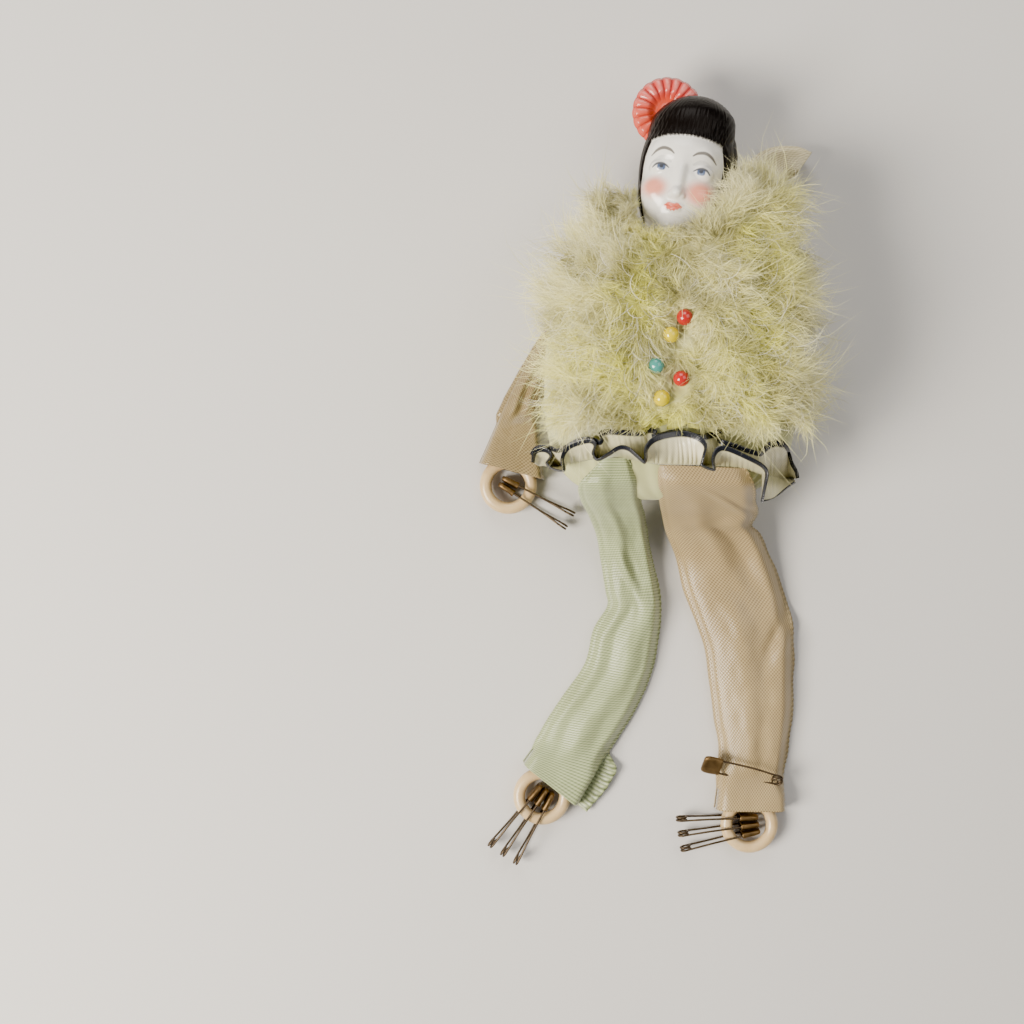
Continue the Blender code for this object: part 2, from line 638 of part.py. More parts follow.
def hem_pocket(name, ring_centre, ring_turn):
    """The wedge that the ring needs inside its hem, from flat to tipped up."""
    tight = RING_TUBE / 2 + FIT
    half = RING_DIAMETER / 2 + FIT
    deep = RING_RADIUS
    profile = [
        (tight, -tight), (tight, tight * 0.6), (tight * 0.6, tight),
        (-deep * 0.02, tight), (-deep, tight + deep * math.tan(RING_LIFT)), (-deep, -tight),
    ]
    sections = [[(side, along, up) for along, up in profile] for side in (-half, half)]
    turn = Matrix.Rotation(ring_turn - math.radians(90), 4, "Z")
    centre = Vector(ring_centre).to_3d() + turn @ Vector((0, RING_RADIUS, 0))
    spot = Matrix.Translation((centre.x, centre.y, RING_Z)) @ turn
    return cutter(name, loft_mesh(name, sections), spot)


def make_ribbon(name, anchor, stations, folds, ring, swing_height, finish):
    """A ribbon limb, hung on a pivot where it is sewn on, with a pocket for its ring if it holds one."""
    sections = []
    for left, right, underside, thickness in stations:
        edges = anchor + Vector(left) * MM, anchor + Vector(right) * MM
        sections.append(ribbon_section(*edges, underside * MM, thickness * MM, folds))
    if ring is not None:
        sections += [hem_ring_points(station) for station in hem_sections(*ring)]
    hinge = pivot(name + "_pivot", Matrix.Translation((*anchor, swing_height)))
    limb = place(name, loft_mesh(name, sections), finish, hinge)
    if ring is not None:
        combine(limb, hem_pocket(name + "_pocket", *ring))
    return limb, hinge


def make_ring(name, ring, limb_pivot, finish):
    """An ivory ring on a pivot at the tube that its hem holds."""
    centre, turn = ring
    facing = Matrix.Rotation(turn - math.radians(90), 4, "Z")
    middle = Vector((*centre, RING_Z))
    held = middle + facing @ Vector((0, RING_RADIUS, 0))
    hinge = pivot(name + "_pivot", Matrix.Translation(held) @ facing, limb_pivot)
    bm = bmesh.new()
    bpy.ops.mesh.primitive_torus_add(
        major_radius=RING_RADIUS, minor_radius=RING_TUBE / 2, major_segments=24, minor_segments=10)
    made = bpy.context.object
    bm.from_mesh(made.data)
    bpy.data.objects.remove(made)
    place(name, finished_mesh(name, bm), finish, hinge, Matrix.Translation(middle) @ facing)
    return hinge


def side_points(sign):
    """One side of a safety pin and most of a coil; X runs to the coil, Z across the sides."""
    coil = (PIN_COIL - PIN_WIRE) / 2
    coil_x = pin_coil_x()
    start = -RING_RADIUS - CAP_LENGTH / 2 + CAP_SHEET + FIT
    layer = sign * (PIN_WIRE + FIT) / 2
    points = [
        (start, 0, sign * PIN_SIDES_APART / 2),
        (start + PIN_STRAIGHT, 0, sign * PIN_SIDES_APART / 2),
    ]
    for i in range(10):
        angle = sign * math.radians(90 - 30 * i)
        points.append((coil_x + coil * math.cos(angle), layer, coil * math.sin(angle)))
    return points


def pin_clearances(name, spot):
    """Cutters that clear a closed pin's cap, coil and arm where they pass through cloth."""
    bm = bmesh.new()
    bmesh.ops.create_cube(bm, size=1)
    room = (CAP_LENGTH + 2 * FIT, CAP_THICKNESS + 2 * FIT, CAP_DEPTH + 2 * FIT)
    bmesh.ops.scale(bm, vec=room, verts=bm.verts)
    cutters = [cutter(name + "_cap_room", finished_mesh("cap_room", bm), spot @ cap_place())]
    coil = rod_mesh("coil_room", PIN_COIL / 2 + FIT, 2 * PIN_WIRE + 3 * FIT, COIL_ROOM_SIDES)
    across = Matrix.Translation((pin_coil_x(), 0, 0)) @ Matrix.Rotation(math.radians(90), 4, "X")
    cutters.append(cutter(name + "_coil_room", coil, spot @ across))
    bm = bmesh.new()
    for point in side_points(1)[:3]:
        room = Matrix.Translation(point) @ Matrix.Scale(PIN_WIRE / 2 + FIT, 4)
        bmesh.ops.create_icosphere(bm, subdivisions=1, radius=1, matrix=room)
    hull = bmesh.ops.convex_hull(bm, input=bm.verts)
    inside = {vert for vert in hull["geom_interior"] if isinstance(vert, bmesh.types.BMVert)}
    bmesh.ops.delete(bm, geom=list(inside), context="VERTS")
    cutters.append(cutter(name + "_arm_room", finished_mesh("arm_room", bm), spot))
    return cutters


def pin_coil_x():
    return PIN_LENGTH - CAP_LENGTH / 2 - PIN_COIL / 2 - RING_RADIUS


def cap_mesh():
    """A folded sheet cap, open towards the coil and along the side that the arm leaves by."""
    bm = bmesh.new()
    bmesh.ops.create_cube(bm, size=1)
    bmesh.ops.scale(bm, vec=(CAP_LENGTH, CAP_THICKNESS, CAP_DEPTH), verts=bm.verts)
    far = [edge for edge in bm.edges if all(vert.co.x < 0 for vert in edge.verts)]
    bmesh.ops.bevel(bm, geom=far, offset=CAP_SHEET * 0.9, segments=1, affect="EDGES")
    return finished_mesh("cap", bm)


def cap_slot_mesh():
    bm = bmesh.new()
    bmesh.ops.create_cube(bm, size=1)
    bmesh.ops.scale(bm, vec=(CAP_LENGTH, PIN_WIRE + 2 * FIT, CAP_DEPTH), verts=bm.verts)
    bmesh.ops.translate(bm, vec=(CAP_SHEET, 0, CAP_SHEET), verts=bm.verts)
    return finished_mesh("cap_slot", bm)


def make_safety_pin(name, spot, pin_meshes, finishes, parent, swings=True):
    """A pin hung at spot: X along it to the coil, Z from the fixed side to the arm."""
    wire, arm, cap = pin_meshes
    brass, steel = finishes
    hinge = pivot(name + "_pivot", spot, parent) if swings else parent
    place(name + "_wire", wire, steel, hinge, spot)
    cap_object = place(name + "_cap", cap, brass, hinge, spot @ cap_place())
    combine(cap_object, cutter(name + "_slot", bpy.data.meshes["cap_slot"], spot @ cap_place()))
    coil = pivot(name + "_coil", spot @ Matrix.Translation((pin_coil_x(), 0, 0)), hinge)
    place(name + "_arm", arm, steel, coil, spot)


def cap_place():
    top = PIN_SIDES_APART / 2 + PIN_WIRE / 2
    return Matrix.Translation((-RING_RADIUS, 0, top - CAP_DEPTH / 2))


def pin_on_ring(ring, base, step):
    """Where a pin crosses a ring; its neighbours fan out by a step each, caps side by side."""
    centre, _ = ring
    heading = base + step * PIN_FAN
    spread = CAP_THICKNESS + FIT + CAP_LENGTH / 2 * math.sin(PIN_FAN)
    across = Vector((-math.sin(base), math.cos(base), 0)) * step * spread
    along = Vector((math.cos(heading), math.sin(heading), 0))
    spot = Vector((*centre, RING_Z)) + across + along * RING_RADIUS
    return Matrix.Translation(spot) @ Matrix.Rotation(heading, 4, "Z")


def make_glass_pins(cover, filling):
    steel = material("pin_steel", (0.55, 0.55, 0.55), 0.3, 1.0)
    for name, ((x, y), lean, colour) in GLASS_PINS.items():
        out = Vector((lean[0], lean[1], 1)).normalized()
        surface = Vector((x, y, cushion_front(x, y)))
        middle = surface + out * (HEAD_STAND_OFF + GLASS_HEAD / 2)
        turn = out.to_track_quat("Z", "Y").to_matrix().to_4x4()
        hinge = pivot(name + "_pivot", Matrix.Translation(middle) @ turn)
        glass = material(name + "_glass", colour, 0.1)
        head_mesh = ellipsoid_mesh(name + "_head", (GLASS_HEAD, GLASS_HEAD, GLASS_HEAD), 14, 8)
        place(name + "_head", head_mesh, glass, hinge, Matrix.Translation(middle) @ turn)
        below = Matrix.Translation((0, 0, -GLASS_HEAD / 2 - FIT - SHAFT_LENGTH / 2))
        shaft = rod_mesh(name + "_shaft", SHAFT_POINT / 2, SHAFT_LENGTH, 8, SHAFT_DIAMETER / 2)
        place(name + "_shaft", shaft, steel, hinge, Matrix.Translation(middle) @ turn @ below)
        channel = rod_mesh(name + "_channel", SHAFT_DIAMETER / 2 + FIT, SHAFT_LENGTH + 2 * FIT, 8)
        bored = cutter(name + "_channel", channel, Matrix.Translation(middle) @ turn @ below)
        combine(cover, bored)
        combine(filling, bored)


def main():
    root = start_scene()
    cover, filling = make_cushion()
    head = make_half_doll()
    make_ruffle()
    make_feathers(head)
    make_glass_pins(cover, filling)

    green = material("grosgrain", (0.52, 0.58, 0.40), 0.6)
    beige = material("taffeta", (0.60, 0.52, 0.38), 0.5)
    cream = material("cream_satin", (0.72, 0.66, 0.50), 0.4)
    ivory = material("ivory", (0.74, 0.66, 0.48), 0.35)
    hip_height = (LEG_LEFT[0][2] + LEG_LEFT[0][3]) * MM
    _, left_leg = make_ribbon(
        "leg_left", HIP, LEG_LEFT, LEG_LEFT_FOLDS, RING_LEG_LEFT, hip_height, green)
    leg, right_leg = make_ribbon(
        "leg_right", HIP, LEG_RIGHT, LEG_RIGHT_FOLDS, RING_LEG_RIGHT, hip_height, beige)
    _, left_arm = make_ribbon("arm_left", LEFT_SHOULDER, ARM_LEFT, ARM_FOLDS, RING_ARM_LEFT, 0, beige)
    make_ribbon("arm_right", RIGHT_SHOULDER, ARM_RIGHT, ARM_FOLDS, None, 0, cream)

    finishes = (
        material("pin_brass", (0.22, 0.15, 0.07), 0.45, 1.0),
        material("pin_wire", (0.14, 0.11, 0.08), 0.45, 1.0),
    )
    pin_meshes = (
        wire_mesh("pin_wire", side_points(-1), PIN_WIRE),
        wire_mesh("pin_arm", side_points(1), PIN_WIRE),
        cap_mesh(),
    )
    cap_slot_mesh()
    hung = (
        ("ring_leg_right", RING_LEG_RIGHT, right_leg, math.radians(188), (-1, 0, 1)),
        ("ring_leg_left", RING_LEG_LEFT, left_leg, math.radians(236), (-1, 0, 1)),
        ("ring_arm_left", RING_ARM_LEFT, left_arm, math.radians(330), (-0.5, 0.5)),
    )
    for name, ring, limb, base, steps in hung:
        ring_pivot = make_ring(name, ring, limb, ivory)
        for number, step in enumerate(steps, 1):
            pin = f"{name}_pin_{number}"
            make_safety_pin(pin, pin_on_ring(ring, base, step), pin_meshes, finishes, ring_pivot)
    turn = Matrix.Rotation(LEG_PIN_HEADING, 4, "Z") @ Matrix.Rotation(LEG_PIN_ROLL, 4, "X")
    spot = Matrix.Translation((*LEG_PIN, LEG_PIN_HEIGHT)) @ turn
    make_safety_pin("leg_pin", spot, pin_meshes, finishes, right_leg, swings=False)
    for room in pin_clearances("leg_pin", spot):
        combine(leg, room)
    centre_on_origin(root)


main()
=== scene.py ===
"""The looks of the porcelain half-doll pincushion, on its CAD frame.

Numbers are in millimetres of the row frame.
"""

import json
import math

import bpy
import numpy as np
from mathutils import Matrix, Vector


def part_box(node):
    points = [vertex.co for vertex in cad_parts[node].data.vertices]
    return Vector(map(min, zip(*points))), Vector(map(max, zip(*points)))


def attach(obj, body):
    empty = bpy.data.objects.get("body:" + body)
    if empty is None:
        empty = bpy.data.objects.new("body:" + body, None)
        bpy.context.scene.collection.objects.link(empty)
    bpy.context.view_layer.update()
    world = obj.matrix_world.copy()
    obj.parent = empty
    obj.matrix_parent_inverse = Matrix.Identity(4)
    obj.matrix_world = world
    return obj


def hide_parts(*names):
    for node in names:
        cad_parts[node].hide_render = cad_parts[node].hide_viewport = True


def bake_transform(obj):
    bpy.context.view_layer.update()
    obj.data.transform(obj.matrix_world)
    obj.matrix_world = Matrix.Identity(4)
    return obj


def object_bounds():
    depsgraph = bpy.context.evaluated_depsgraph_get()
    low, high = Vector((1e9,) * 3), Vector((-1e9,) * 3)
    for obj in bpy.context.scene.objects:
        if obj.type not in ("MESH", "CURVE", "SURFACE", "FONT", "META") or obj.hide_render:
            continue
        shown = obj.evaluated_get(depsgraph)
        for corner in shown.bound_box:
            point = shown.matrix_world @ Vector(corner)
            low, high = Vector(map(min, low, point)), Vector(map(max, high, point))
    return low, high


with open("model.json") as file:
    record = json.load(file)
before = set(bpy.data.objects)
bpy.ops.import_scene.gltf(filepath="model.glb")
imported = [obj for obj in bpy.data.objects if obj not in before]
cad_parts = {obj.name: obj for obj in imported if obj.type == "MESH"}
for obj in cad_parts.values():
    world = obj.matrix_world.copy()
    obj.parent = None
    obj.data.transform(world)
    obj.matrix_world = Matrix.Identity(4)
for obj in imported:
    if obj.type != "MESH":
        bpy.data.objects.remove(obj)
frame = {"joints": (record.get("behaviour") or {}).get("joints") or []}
CAD_LOW, CAD_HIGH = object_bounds()

MM = 0.001
SEED = 20

# Camera: straight down over the doll
CAMERA_SPOT = (-44.225, -9.187, 500.0)
FOCAL_PIXELS, PICTURE_PIXELS, SENSOR = 1500, 1024, 36

JOINTS = {joint["name"]: joint for joint in frame["joints"]}


# Meshes


def smooth(low, high, value):
    """0 below low, 1 above high, with a soft step between."""
    share = np.clip((np.asarray(value, float) - low) / (high - low), 0, 1)
    return share * share * (3 - 2 * share)


def wobble(seed, *coordinates, octaves=3, scale=1.0):
    """A smooth, seeded wave pattern of about -1 to 1."""
    random = np.random.default_rng(SEED + seed)
    total, weight = 0.0, 0.0
    for octave in range(octaves):
        strength = 0.6**octave
        for _ in range(3):
            direction = random.normal(size=len(coordinates))
            direction *= scale * 1.9**octave / np.linalg.norm(direction)
            phase = random.uniform(0, 2 * math.pi)
            total = total + strength * np.sin(sum(d * c for d, c in zip(direction, coordinates)) + phase)
        weight += 1.7 * strength
    return total / weight


def mesh_object(name, points, faces, uv=None, colour=None, smooth_shaded=True):
    """An object from points in millimetres, with faces as rows of point numbers."""
    mesh = bpy.data.meshes.new(name)
    points = np.asarray(points, np.float32).reshape(-1, 3) * MM
    faces = [np.asarray(group, np.int32) for group in (faces if isinstance(faces, list) else [faces])]
    loops = np.concatenate([group.ravel() for group in faces])
    sizes = np.concatenate([np.full(len(group), group.shape[1], np.int32) for group in faces])
    mesh.vertices.add(len(points))
    mesh.vertices.foreach_set("co", points.ravel())
    mesh.loops.add(len(loops))
    mesh.loops.foreach_set("vertex_index", loops)
    mesh.polygons.add(len(sizes))
    mesh.polygons.foreach_set("loop_start", np.concatenate([[0], np.cumsum(sizes)[:-1]]).astype(np.int32))
    if smooth_shaded:
        mesh.polygons.foreach_set("use_smooth", np.ones(len(sizes), bool))
    mesh.update(calc_edges=True)
    if uv is not None:
        layer = mesh.uv_layers.new(name="cloth")
        layer.data.foreach_set("uv", np.asarray(uv, np.float32).reshape(-1, 2)[loops].ravel())
    if colour is not None:
        colour = np.asarray(colour, np.float32).reshape(-1, 3)
        paint = mesh.color_attributes.new("paint", "FLOAT_COLOR", "POINT")
        paint.data.foreach_set("color",
            np.column_stack([colour, np.ones(len(colour))]).astype(np.float32).ravel())
    obj = bpy.data.objects.new(name, mesh)
    bpy.context.scene.collection.objects.link(obj)
    return obj


def circle(count):
    """Angles evenly round a circle."""
    return np.arange(count) * 2 * math.pi / count


def squared_off(wave, power):
    """A sine or cosine that lingers at its ends, so that a circle turns boxy."""
    return np.sign(wave) * np.abs(wave) ** power


def quarter_round(share):
    """Rises from 0 to 1 like a quarter of a circle."""
    return np.sqrt(np.clip(1 - (1 - np.clip(share, 0, 1)) ** 2, 0, 1))


def run_along(path):
    """Distance along a path of points, from 0."""
    return np.concatenate([[0], np.cumsum(np.linalg.norm(np.diff(path, axis=0), axis=1))])


def grid_faces(rows, columns, round_rows=False, round_columns=False):
    """Quads between the points of a grid; a round direction joins its last line to its first."""
    i = np.arange(rows if round_rows else rows - 1)
    j = np.arange(columns if round_columns else columns - 1)
    i, j = (side.ravel() for side in np.meshgrid(i, j, indexing="ij"))
    below, beside = (i + 1) % rows, (j + 1) % columns
    quads = (i * columns + j, i * columns + beside, below * columns + beside, below * columns + j)
    return np.column_stack(quads)


def closed_faces(rows, sides, turned=False):
    """Faces of rings of points with a cap at both ends."""
    caps = np.array([np.arange(sides)[::-1], (rows - 1) * sides + np.arange(sides)])
    faces = [grid_faces(rows, sides, round_columns=True), caps]
    return [face[:, ::-1] for face in faces] if turned else faces


def rim_faces(rim, count):
    """The wall that joins a sheet's rim to the same points of a second sheet, count points later."""
    return np.column_stack([rim, np.roll(rim, -1), np.roll(rim, -1) + count, rim + count])


def frames_along(path):
    """Unit tangents and two cross directions along a path of points."""
    path = np.asarray(path, float)
    tangent = np.gradient(path, axis=0)
    tangent /= np.linalg.norm(tangent, axis=1, keepdims=True)
    side = np.zeros_like(path)
    start = np.array([0.0, 0.0, 1.0]) if abs(tangent[0][2]) < 0.9 else np.array([1.0, 0.0, 0.0])
    for k, direction in enumerate(tangent):
        start = start - direction * (start @ direction)
        start = start / np.linalg.norm(start)
        side[k] = start
    return tangent, side, np.cross(tangent, side)


def tube(path, radius, sides=12):
    """Points and faces of a round wire with closed ends; radius is one number or one for each point."""
    path = np.asarray(path, float)
    radius = np.broadcast_to(np.asarray(radius, float), len(path))
    _, side, up = frames_along(path)
    angle = circle(sides)
    ring = np.cos(angle)[None, :, None] * side[:, None] + np.sin(angle)[None, :, None] * up[:, None]
    points = (path[:, None] + radius[:, None, None] * ring).reshape(-1, 3)
    return points, closed_faces(len(path), sides)


def joined(parts):
    """Several (points, faces) as one."""
    points, faces, count = [], [], 0
    for part_points, part_faces in parts:
        points.append(part_points)
        faces += [np.asarray(group) + count for group in part_faces]
        count += len(part_points)
    return np.concatenate(points), faces


def spline(points, count):
    """A smooth curve through points, as count points evenly spaced."""
    points = np.asarray(points, float)
    padded = np.vstack([2 * points[0] - points[1], points, 2 * points[-1] - points[-2]])
    fine = []
    for k in range(len(points) - 1):
        a, b, c, d = padded[k:k + 4]
        t = np.linspace(0, 1, 24, endpoint=False)[:, None]
        fine.append(0.5 * (2 * b + (c - a) * t + (2 * a - 5 * b + 4 * c - d) * t**2
            + (3 * b - a - 3 * c + d) * t**3))
    fine = np.vstack([*fine, points[-1:]])
    run = run_along(fine)
    even = np.linspace(0, run[-1], count)
    return np.column_stack([np.interp(even, run, fine[:, axis]) for axis in range(points.shape[1])])


# Finishes

DOWN_GLOW = 0.32  # share of the light that passes through a strand


class Finish:
    """A material built from nodes round a Principled shader."""

    def __init__(self, name, roughness, **sockets):
        self.material = bpy.data.materials.new(name)
        self.material.use_nodes = True
        self.tree = self.material.node_tree
        self.shader = self.tree.nodes["Principled BSDF"]
        self.put(Roughness=roughness, **sockets)

    def put(self, **sockets):
        """Sets shader sockets by name, with _ for a space, to a value or to another node's output."""
        for name, value in sockets.items():
            self.feed(self.shader.inputs[name.replace("_", " ")], value)
        return self

    def feed(self, socket, value):
        if isinstance(value, bpy.types.NodeSocket):
            self.tree.links.new(value, socket)
        else:
            socket.default_value = (*value, 1) if socket.type == "RGBA" and len(value) == 3 else value

    def node(self, kind, output, *inputs, **settings):
        """A new node with its first inputs fed in order; returns one of its outputs."""
        made = self.tree.nodes.new("ShaderNode" + kind)
        for key, value in settings.items():
            setattr(made, key, value)
        for socket, value in zip(made.inputs, inputs):
            if value is not None:
                self.feed(socket, value)
        return made.outputs[output]

    def place(self):
        return self.node("TexCoord", "Object")

    def noise(self, scale, detail=3.0, source=None):
        return self.node("TexNoise", 0, source or self.place(), None, scale, detail)

    def maths(self, operation, *values):
        return self.node("Math", 0, *values, operation=operation)

    def between(self, share, low, high):
        """A colour or number range read by a share from 0 to 1."""
        if isinstance(low, (float, int)):
            return self.node("MapRange", 0, share, 0.0, 1.0, low, high)
        return self.mix("MIX", share, low, high)

    def times(self, colour, share):
        """A colour dimmed by a share."""
        return self.mix("MULTIPLY", 1.0, colour, share)

    def mix(self, blend, share, first, second):
        made = self.tree.nodes.new("ShaderNodeMix")
        made.data_type, made.blend_type = "RGBA", blend
        self.feed(made.inputs[0], share)
        colours = [socket for socket in made.inputs if socket.type == "RGBA"]
        for socket, colour in zip(colours, (first, second)):
            self.feed(socket, colour)
        return next(socket for socket in made.outputs if socket.type == "RGBA")

    def paint(self):
        return self.node("VertexColor", "Color", layer_name="paint")

    def bump(self, height, strength, distance):
        made = self.tree.nodes.new("ShaderNodeBump")
        made.inputs["Strength"].default_value = strength
        made.inputs["Distance"].default_value = distance * MM
        self.feed(made.inputs["Height"], height)
        return self.put(Normal=made.outputs["Normal"])

    def cloth_waves(self, across, along):
        """A wave over the cloth's own width and length, in turns for each millimetre."""
        uv = self.node("UVMap", "UV", uv_map="cloth")
        split = self.tree.nodes.new("ShaderNodeSeparateXYZ")
        self.feed(split.inputs[0], uv)
        turn = self.maths("ADD", self.maths("MULTIPLY", split.outputs["X"], across * 2 * math.pi),
                          self.maths("MULTIPLY", split.outputs["Y"], along * 2 * math.pi))
        return self.maths("MULTIPLY_ADD", self.maths("SINE", turn), 0.5, 0.5)


def porcelain():
    made = Finish("porcelain_glaze", 0.20, Coat_Roughness=0.16, IOR=1.45)
    crazing = made.noise(900.0, 5.0)
    made.put(Base_Color=made.times(made.paint(),
        made.between(crazing, (0.93, 0.92, 0.90), (1.0, 1.0, 1.0))))
    pale = made.maths("MINIMUM", made.maths("MULTIPLY", made.node("RGBToBW", 0, made.paint()), 4.0), 1.0)
    made.put(Coat_Weight=made.between(pale, 0.0, 0.3), Specular_IOR_Level=made.between(pale, 0.12, 0.5))
    made.put(Roughness=made.maths("ADD", made.between(pale, 0.26, 0.17),
        made.between(made.noise(260.0), 0.0, 0.1)))
    return made.bump(made.noise(500.0), 0.05, 0.3).material


def marabou(name):
    """Down that lets some light through."""
    made = Finish(name, 0.85, Sheen_Weight=0.3, Sheen_Roughness=0.4)
    tone = made.times(made.paint(), made.between(made.noise(160.0), (0.86, 0.85, 0.80), (1.0, 1.0, 1.0)))
    made.put(Base_Color=tone)
    glow = made.node("BsdfTranslucent", 0, tone)
    mixed = made.node("MixShader", 0, DOWN_GLOW, made.shader.outputs["BSDF"], glow)
    made.feed(made.tree.nodes["Material Output"].inputs["Surface"], mixed)
    return made.material


def woven(name, dark, light, turns, roughness, depth, fleck=0.25):
    """Woven ribbon: two crossing waves of thread, worn patches, and a soft sheen along the folds."""
    made = Finish(name, roughness, Sheen_Weight=0.3, Sheen_Roughness=0.3)
    first, second = (made.cloth_waves(*turn) for turn in turns)
    thread = made.maths("MULTIPLY_ADD", second, fleck, made.maths("MULTIPLY", first, 1 - fleck))
    colour = made.between(thread, dark, light)
    worn = made.between(made.noise(75.0, 4.0), (0.70, 0.68, 0.62), (1.1, 1.09, 1.05))
    made.put(Base_Color=made.times(made.times(colour, worn), made.paint()))
    made.put(Roughness=made.between(made.noise(300.0), roughness - 0.08, roughness + 0.1))
    return made.bump(thread, 0.6, depth).material


def silk():
    made = Finish("cushion_silk", 0.42, Sheen_Weight=0.4, Sheen_Roughness=0.3)
    worn = made.noise(60.0, 4.0)
    made.put(Base_Color=made.between(worn, (0.40, 0.41, 0.18), (0.56, 0.56, 0.30)))
    weave = made.noise(2600.0, 2.0)
    return made.bump(weave, 0.35, 0.12).material


def ivory():
    made = Finish("ivory_ring", 0.32, Coat_Weight=0.25, Coat_Roughness=0.2)
    grain = made.noise(220.0, 5.0)
    made.put(Base_Color=made.between(grain, (0.50, 0.33, 0.14), (0.78, 0.59, 0.33)), Subsurface_Weight=0.1)
    made.put(Subsurface_Radius=(0.002, 0.0015, 0.001))
    return made.bump(made.noise(700.0), 0.12, 0.15).material


def metal(name, dark, bright, scale=420.0):
    made = Finish(name, 0.4, Metallic=0.9)
    tarnish = made.noise(scale, 5.0)
    made.put(Base_Color=made.between(tarnish, dark, bright))
    made.put(Roughness=made.between(made.noise(scale * 2), 0.28, 0.6))
    return made.bump(made.noise(scale * 4), 0.15, 0.08).material


def glass(name, dark, bright):
    made = Finish(name, 0.12, Coat_Weight=0.4, Coat_Roughness=0.06)
    made.put(Base_Color=made.between(made.noise(380.0), dark, bright), Subsurface_Weight=0.05)
    made.put(Subsurface_Radius=(0.001, 0.001, 0.001))
    return made.bump(made.noise(300.0), 0.05, 0.2).material


def middle_of(low, high):
    """The middle of a box in metres, in millimetres."""
    return np.array((low + high) / 2) / MM


def dress(obj, material, body, slot, *nodes):
    """Gives a finished piece its material and body, and hides the nodes that it stands for; slot is not used.
    """
    obj.data.materials.append(material)
    if body is not None:
        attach(obj, body)
    if nodes:
        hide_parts(*nodes)
    return obj


# Porcelain head, in its own frame: right, up and forward from the middle of its flange

HEAD_TILT = math.radians(8)
FACE_YAW = math.radians(8.5)  # the face looks a little to its right
FACE_MIDDLE = 0.6
FACE_ROLL = math.radians(2.5)  # its chin to the left
EYE_LINE = 24.4  # what it rolls about
EYE_OFF = 6.4  # from the face's middle
CHEEKS = ((-7.4, 18.0, 5.0), (7.2, 17.8, 5.8))  # middle and half-width of the rouge
MOUTH_LEFT = 0.5
FLANGE = (6.075, 72.6, 22.5)
HEAD_CORE = np.array([0.0, 24.0, 0.0])

WHITE = np.array([0.86, 0.84, 0.79])
BLACK_HAIR = np.array([0.006, 0.0045, 0.004])
ROUGE = np.array([0.80, 0.29, 0.19])
LIP_RED = np.array([0.72, 0.10, 0.045])
BROW_GREY = np.array([0.05, 0.04, 0.03])
IRIS_BLUE = np.array([0.085, 0.12, 0.22])
LID_DARK = np.array([0.05, 0.055, 0.07])
# painted shade along the crease above each eye
CREASE_SHADE = np.array([0.50, 0.50, 0.49])

# Soft shapes that make the skin: centre, half-sizes, and how softly each melts into the rest
SKIN = (
    ((0, 27.5, 0), (13.4, 19.5, 13.6), 0), ((0, 17, 2.6), (11.6, 13.4, 11.2), 3.0),
    ((0, 7.8, 8.0), (4.6, 3.4, 4.2), 2.4), ((6.6, 17.4, 7.0), (5.0, 5.4, 5.8), 2.2),
    ((-6.6, 17.4, 7.0), (5.0, 5.4, 5.8), 2.2), ((0, 31, 8.6), (9.5, 5.0, 5.4), 2.0),
    ((0, 24.0, 12.2), (1.4, 6.0, 1.9), 2.0), ((0, 20.5, 13.3), (1.35, 5.0, 2.0), 1.6),
    ((0, 16.8, 14.6), (1.75, 1.7, 2.1), 1.2), ((1.7, 16.1, 13.5), (1.1, 1.0, 1.3), 0.8),
    ((-1.7, 16.1, 13.5), (1.1, 1.0, 1.3), 0.8), ((0, 13.3, 12.7), (2.8, 0.8, 1.4), 0.6),
    ((0, 12.0, 12.5), (2.2, 0.8, 1.4), 0.6))
SOCKETS = (((6.4, 25.4, 14.9), (4.0, 2.6, 2.5), 1.4), ((-6.4, 25.4, 14.9), (4.0, 2.6, 2.5), 1.4))
EYEBALLS = (((6.4, 24.5, 8.9), (3.7, 3.1, 4.1), 0.6), ((-6.4, 24.5, 8.9), (3.7, 3.1, 4.1), 0.6))
HAIR = ((1.0, 30.0, -0.6), (16.4, 20.9, 16.4))
HAIR_HANG = 26.0  # half-height of the hair below its middle, as it hangs straight
HAIR_EDGE = 0.7  # thickness of its cut edge
HAIR_SQUARE = 2.15  # a little boxier than an ellipsoid
HAIR_SCALE = 15  # turns shares of its half-sizes into near millimetres
FRINGE_UP, FRINGE_LEFT, FRINGE_BEND = 35.0, 2.2, 0.0085
SIDE_EDGE, SIDE_UP = 12.3, 26  # the hair's side edges stand furthest apart at this height
SIDE_BENDS = (0.022, 0.011)  # above and below it
GROOVES = ((0.05, 95, 0), (0.05, 151, 2), (0.02, 263, 1))  # depth, frequency and phase
FARTHEST, HALVINGS = 34.0, 26  # of the search for the head's surface


def ellipsoid_depth(points, centre, half):
    """A near distance from an ellipsoid's skin, below zero inside."""
    offset = points - np.array(centre, float)
    half = np.array(half, float)
    outer = np.linalg.norm(offset / half, axis=-1)
    inner = np.linalg.norm(offset / half**2, axis=-1)
    return outer * (outer - 1) / np.maximum(inner, 1e-9)


def melt(first, second, softness):
    """The nearer of two depths, with a rounded seam."""
    blend = np.clip(0.5 + 0.5 * (second - first) / softness, 0, 1)
    return second + (first - second) * blend - softness * blend * (1 - blend)


def skin_depth(points):
    depth = ellipsoid_depth(points, *SKIN[0][:2])
    for centre, half, softness in SKIN[1:]:
        depth = melt(depth, ellipsoid_depth(points, centre, half), softness)
    for centre, half, softness in SOCKETS:
        depth = -melt(-depth, ellipsoid_depth(points, centre, half), softness)
    for centre, half, softness in EYEBALLS:
        depth = melt(depth, ellipsoid_depth(points, centre, half), softness)
    return depth


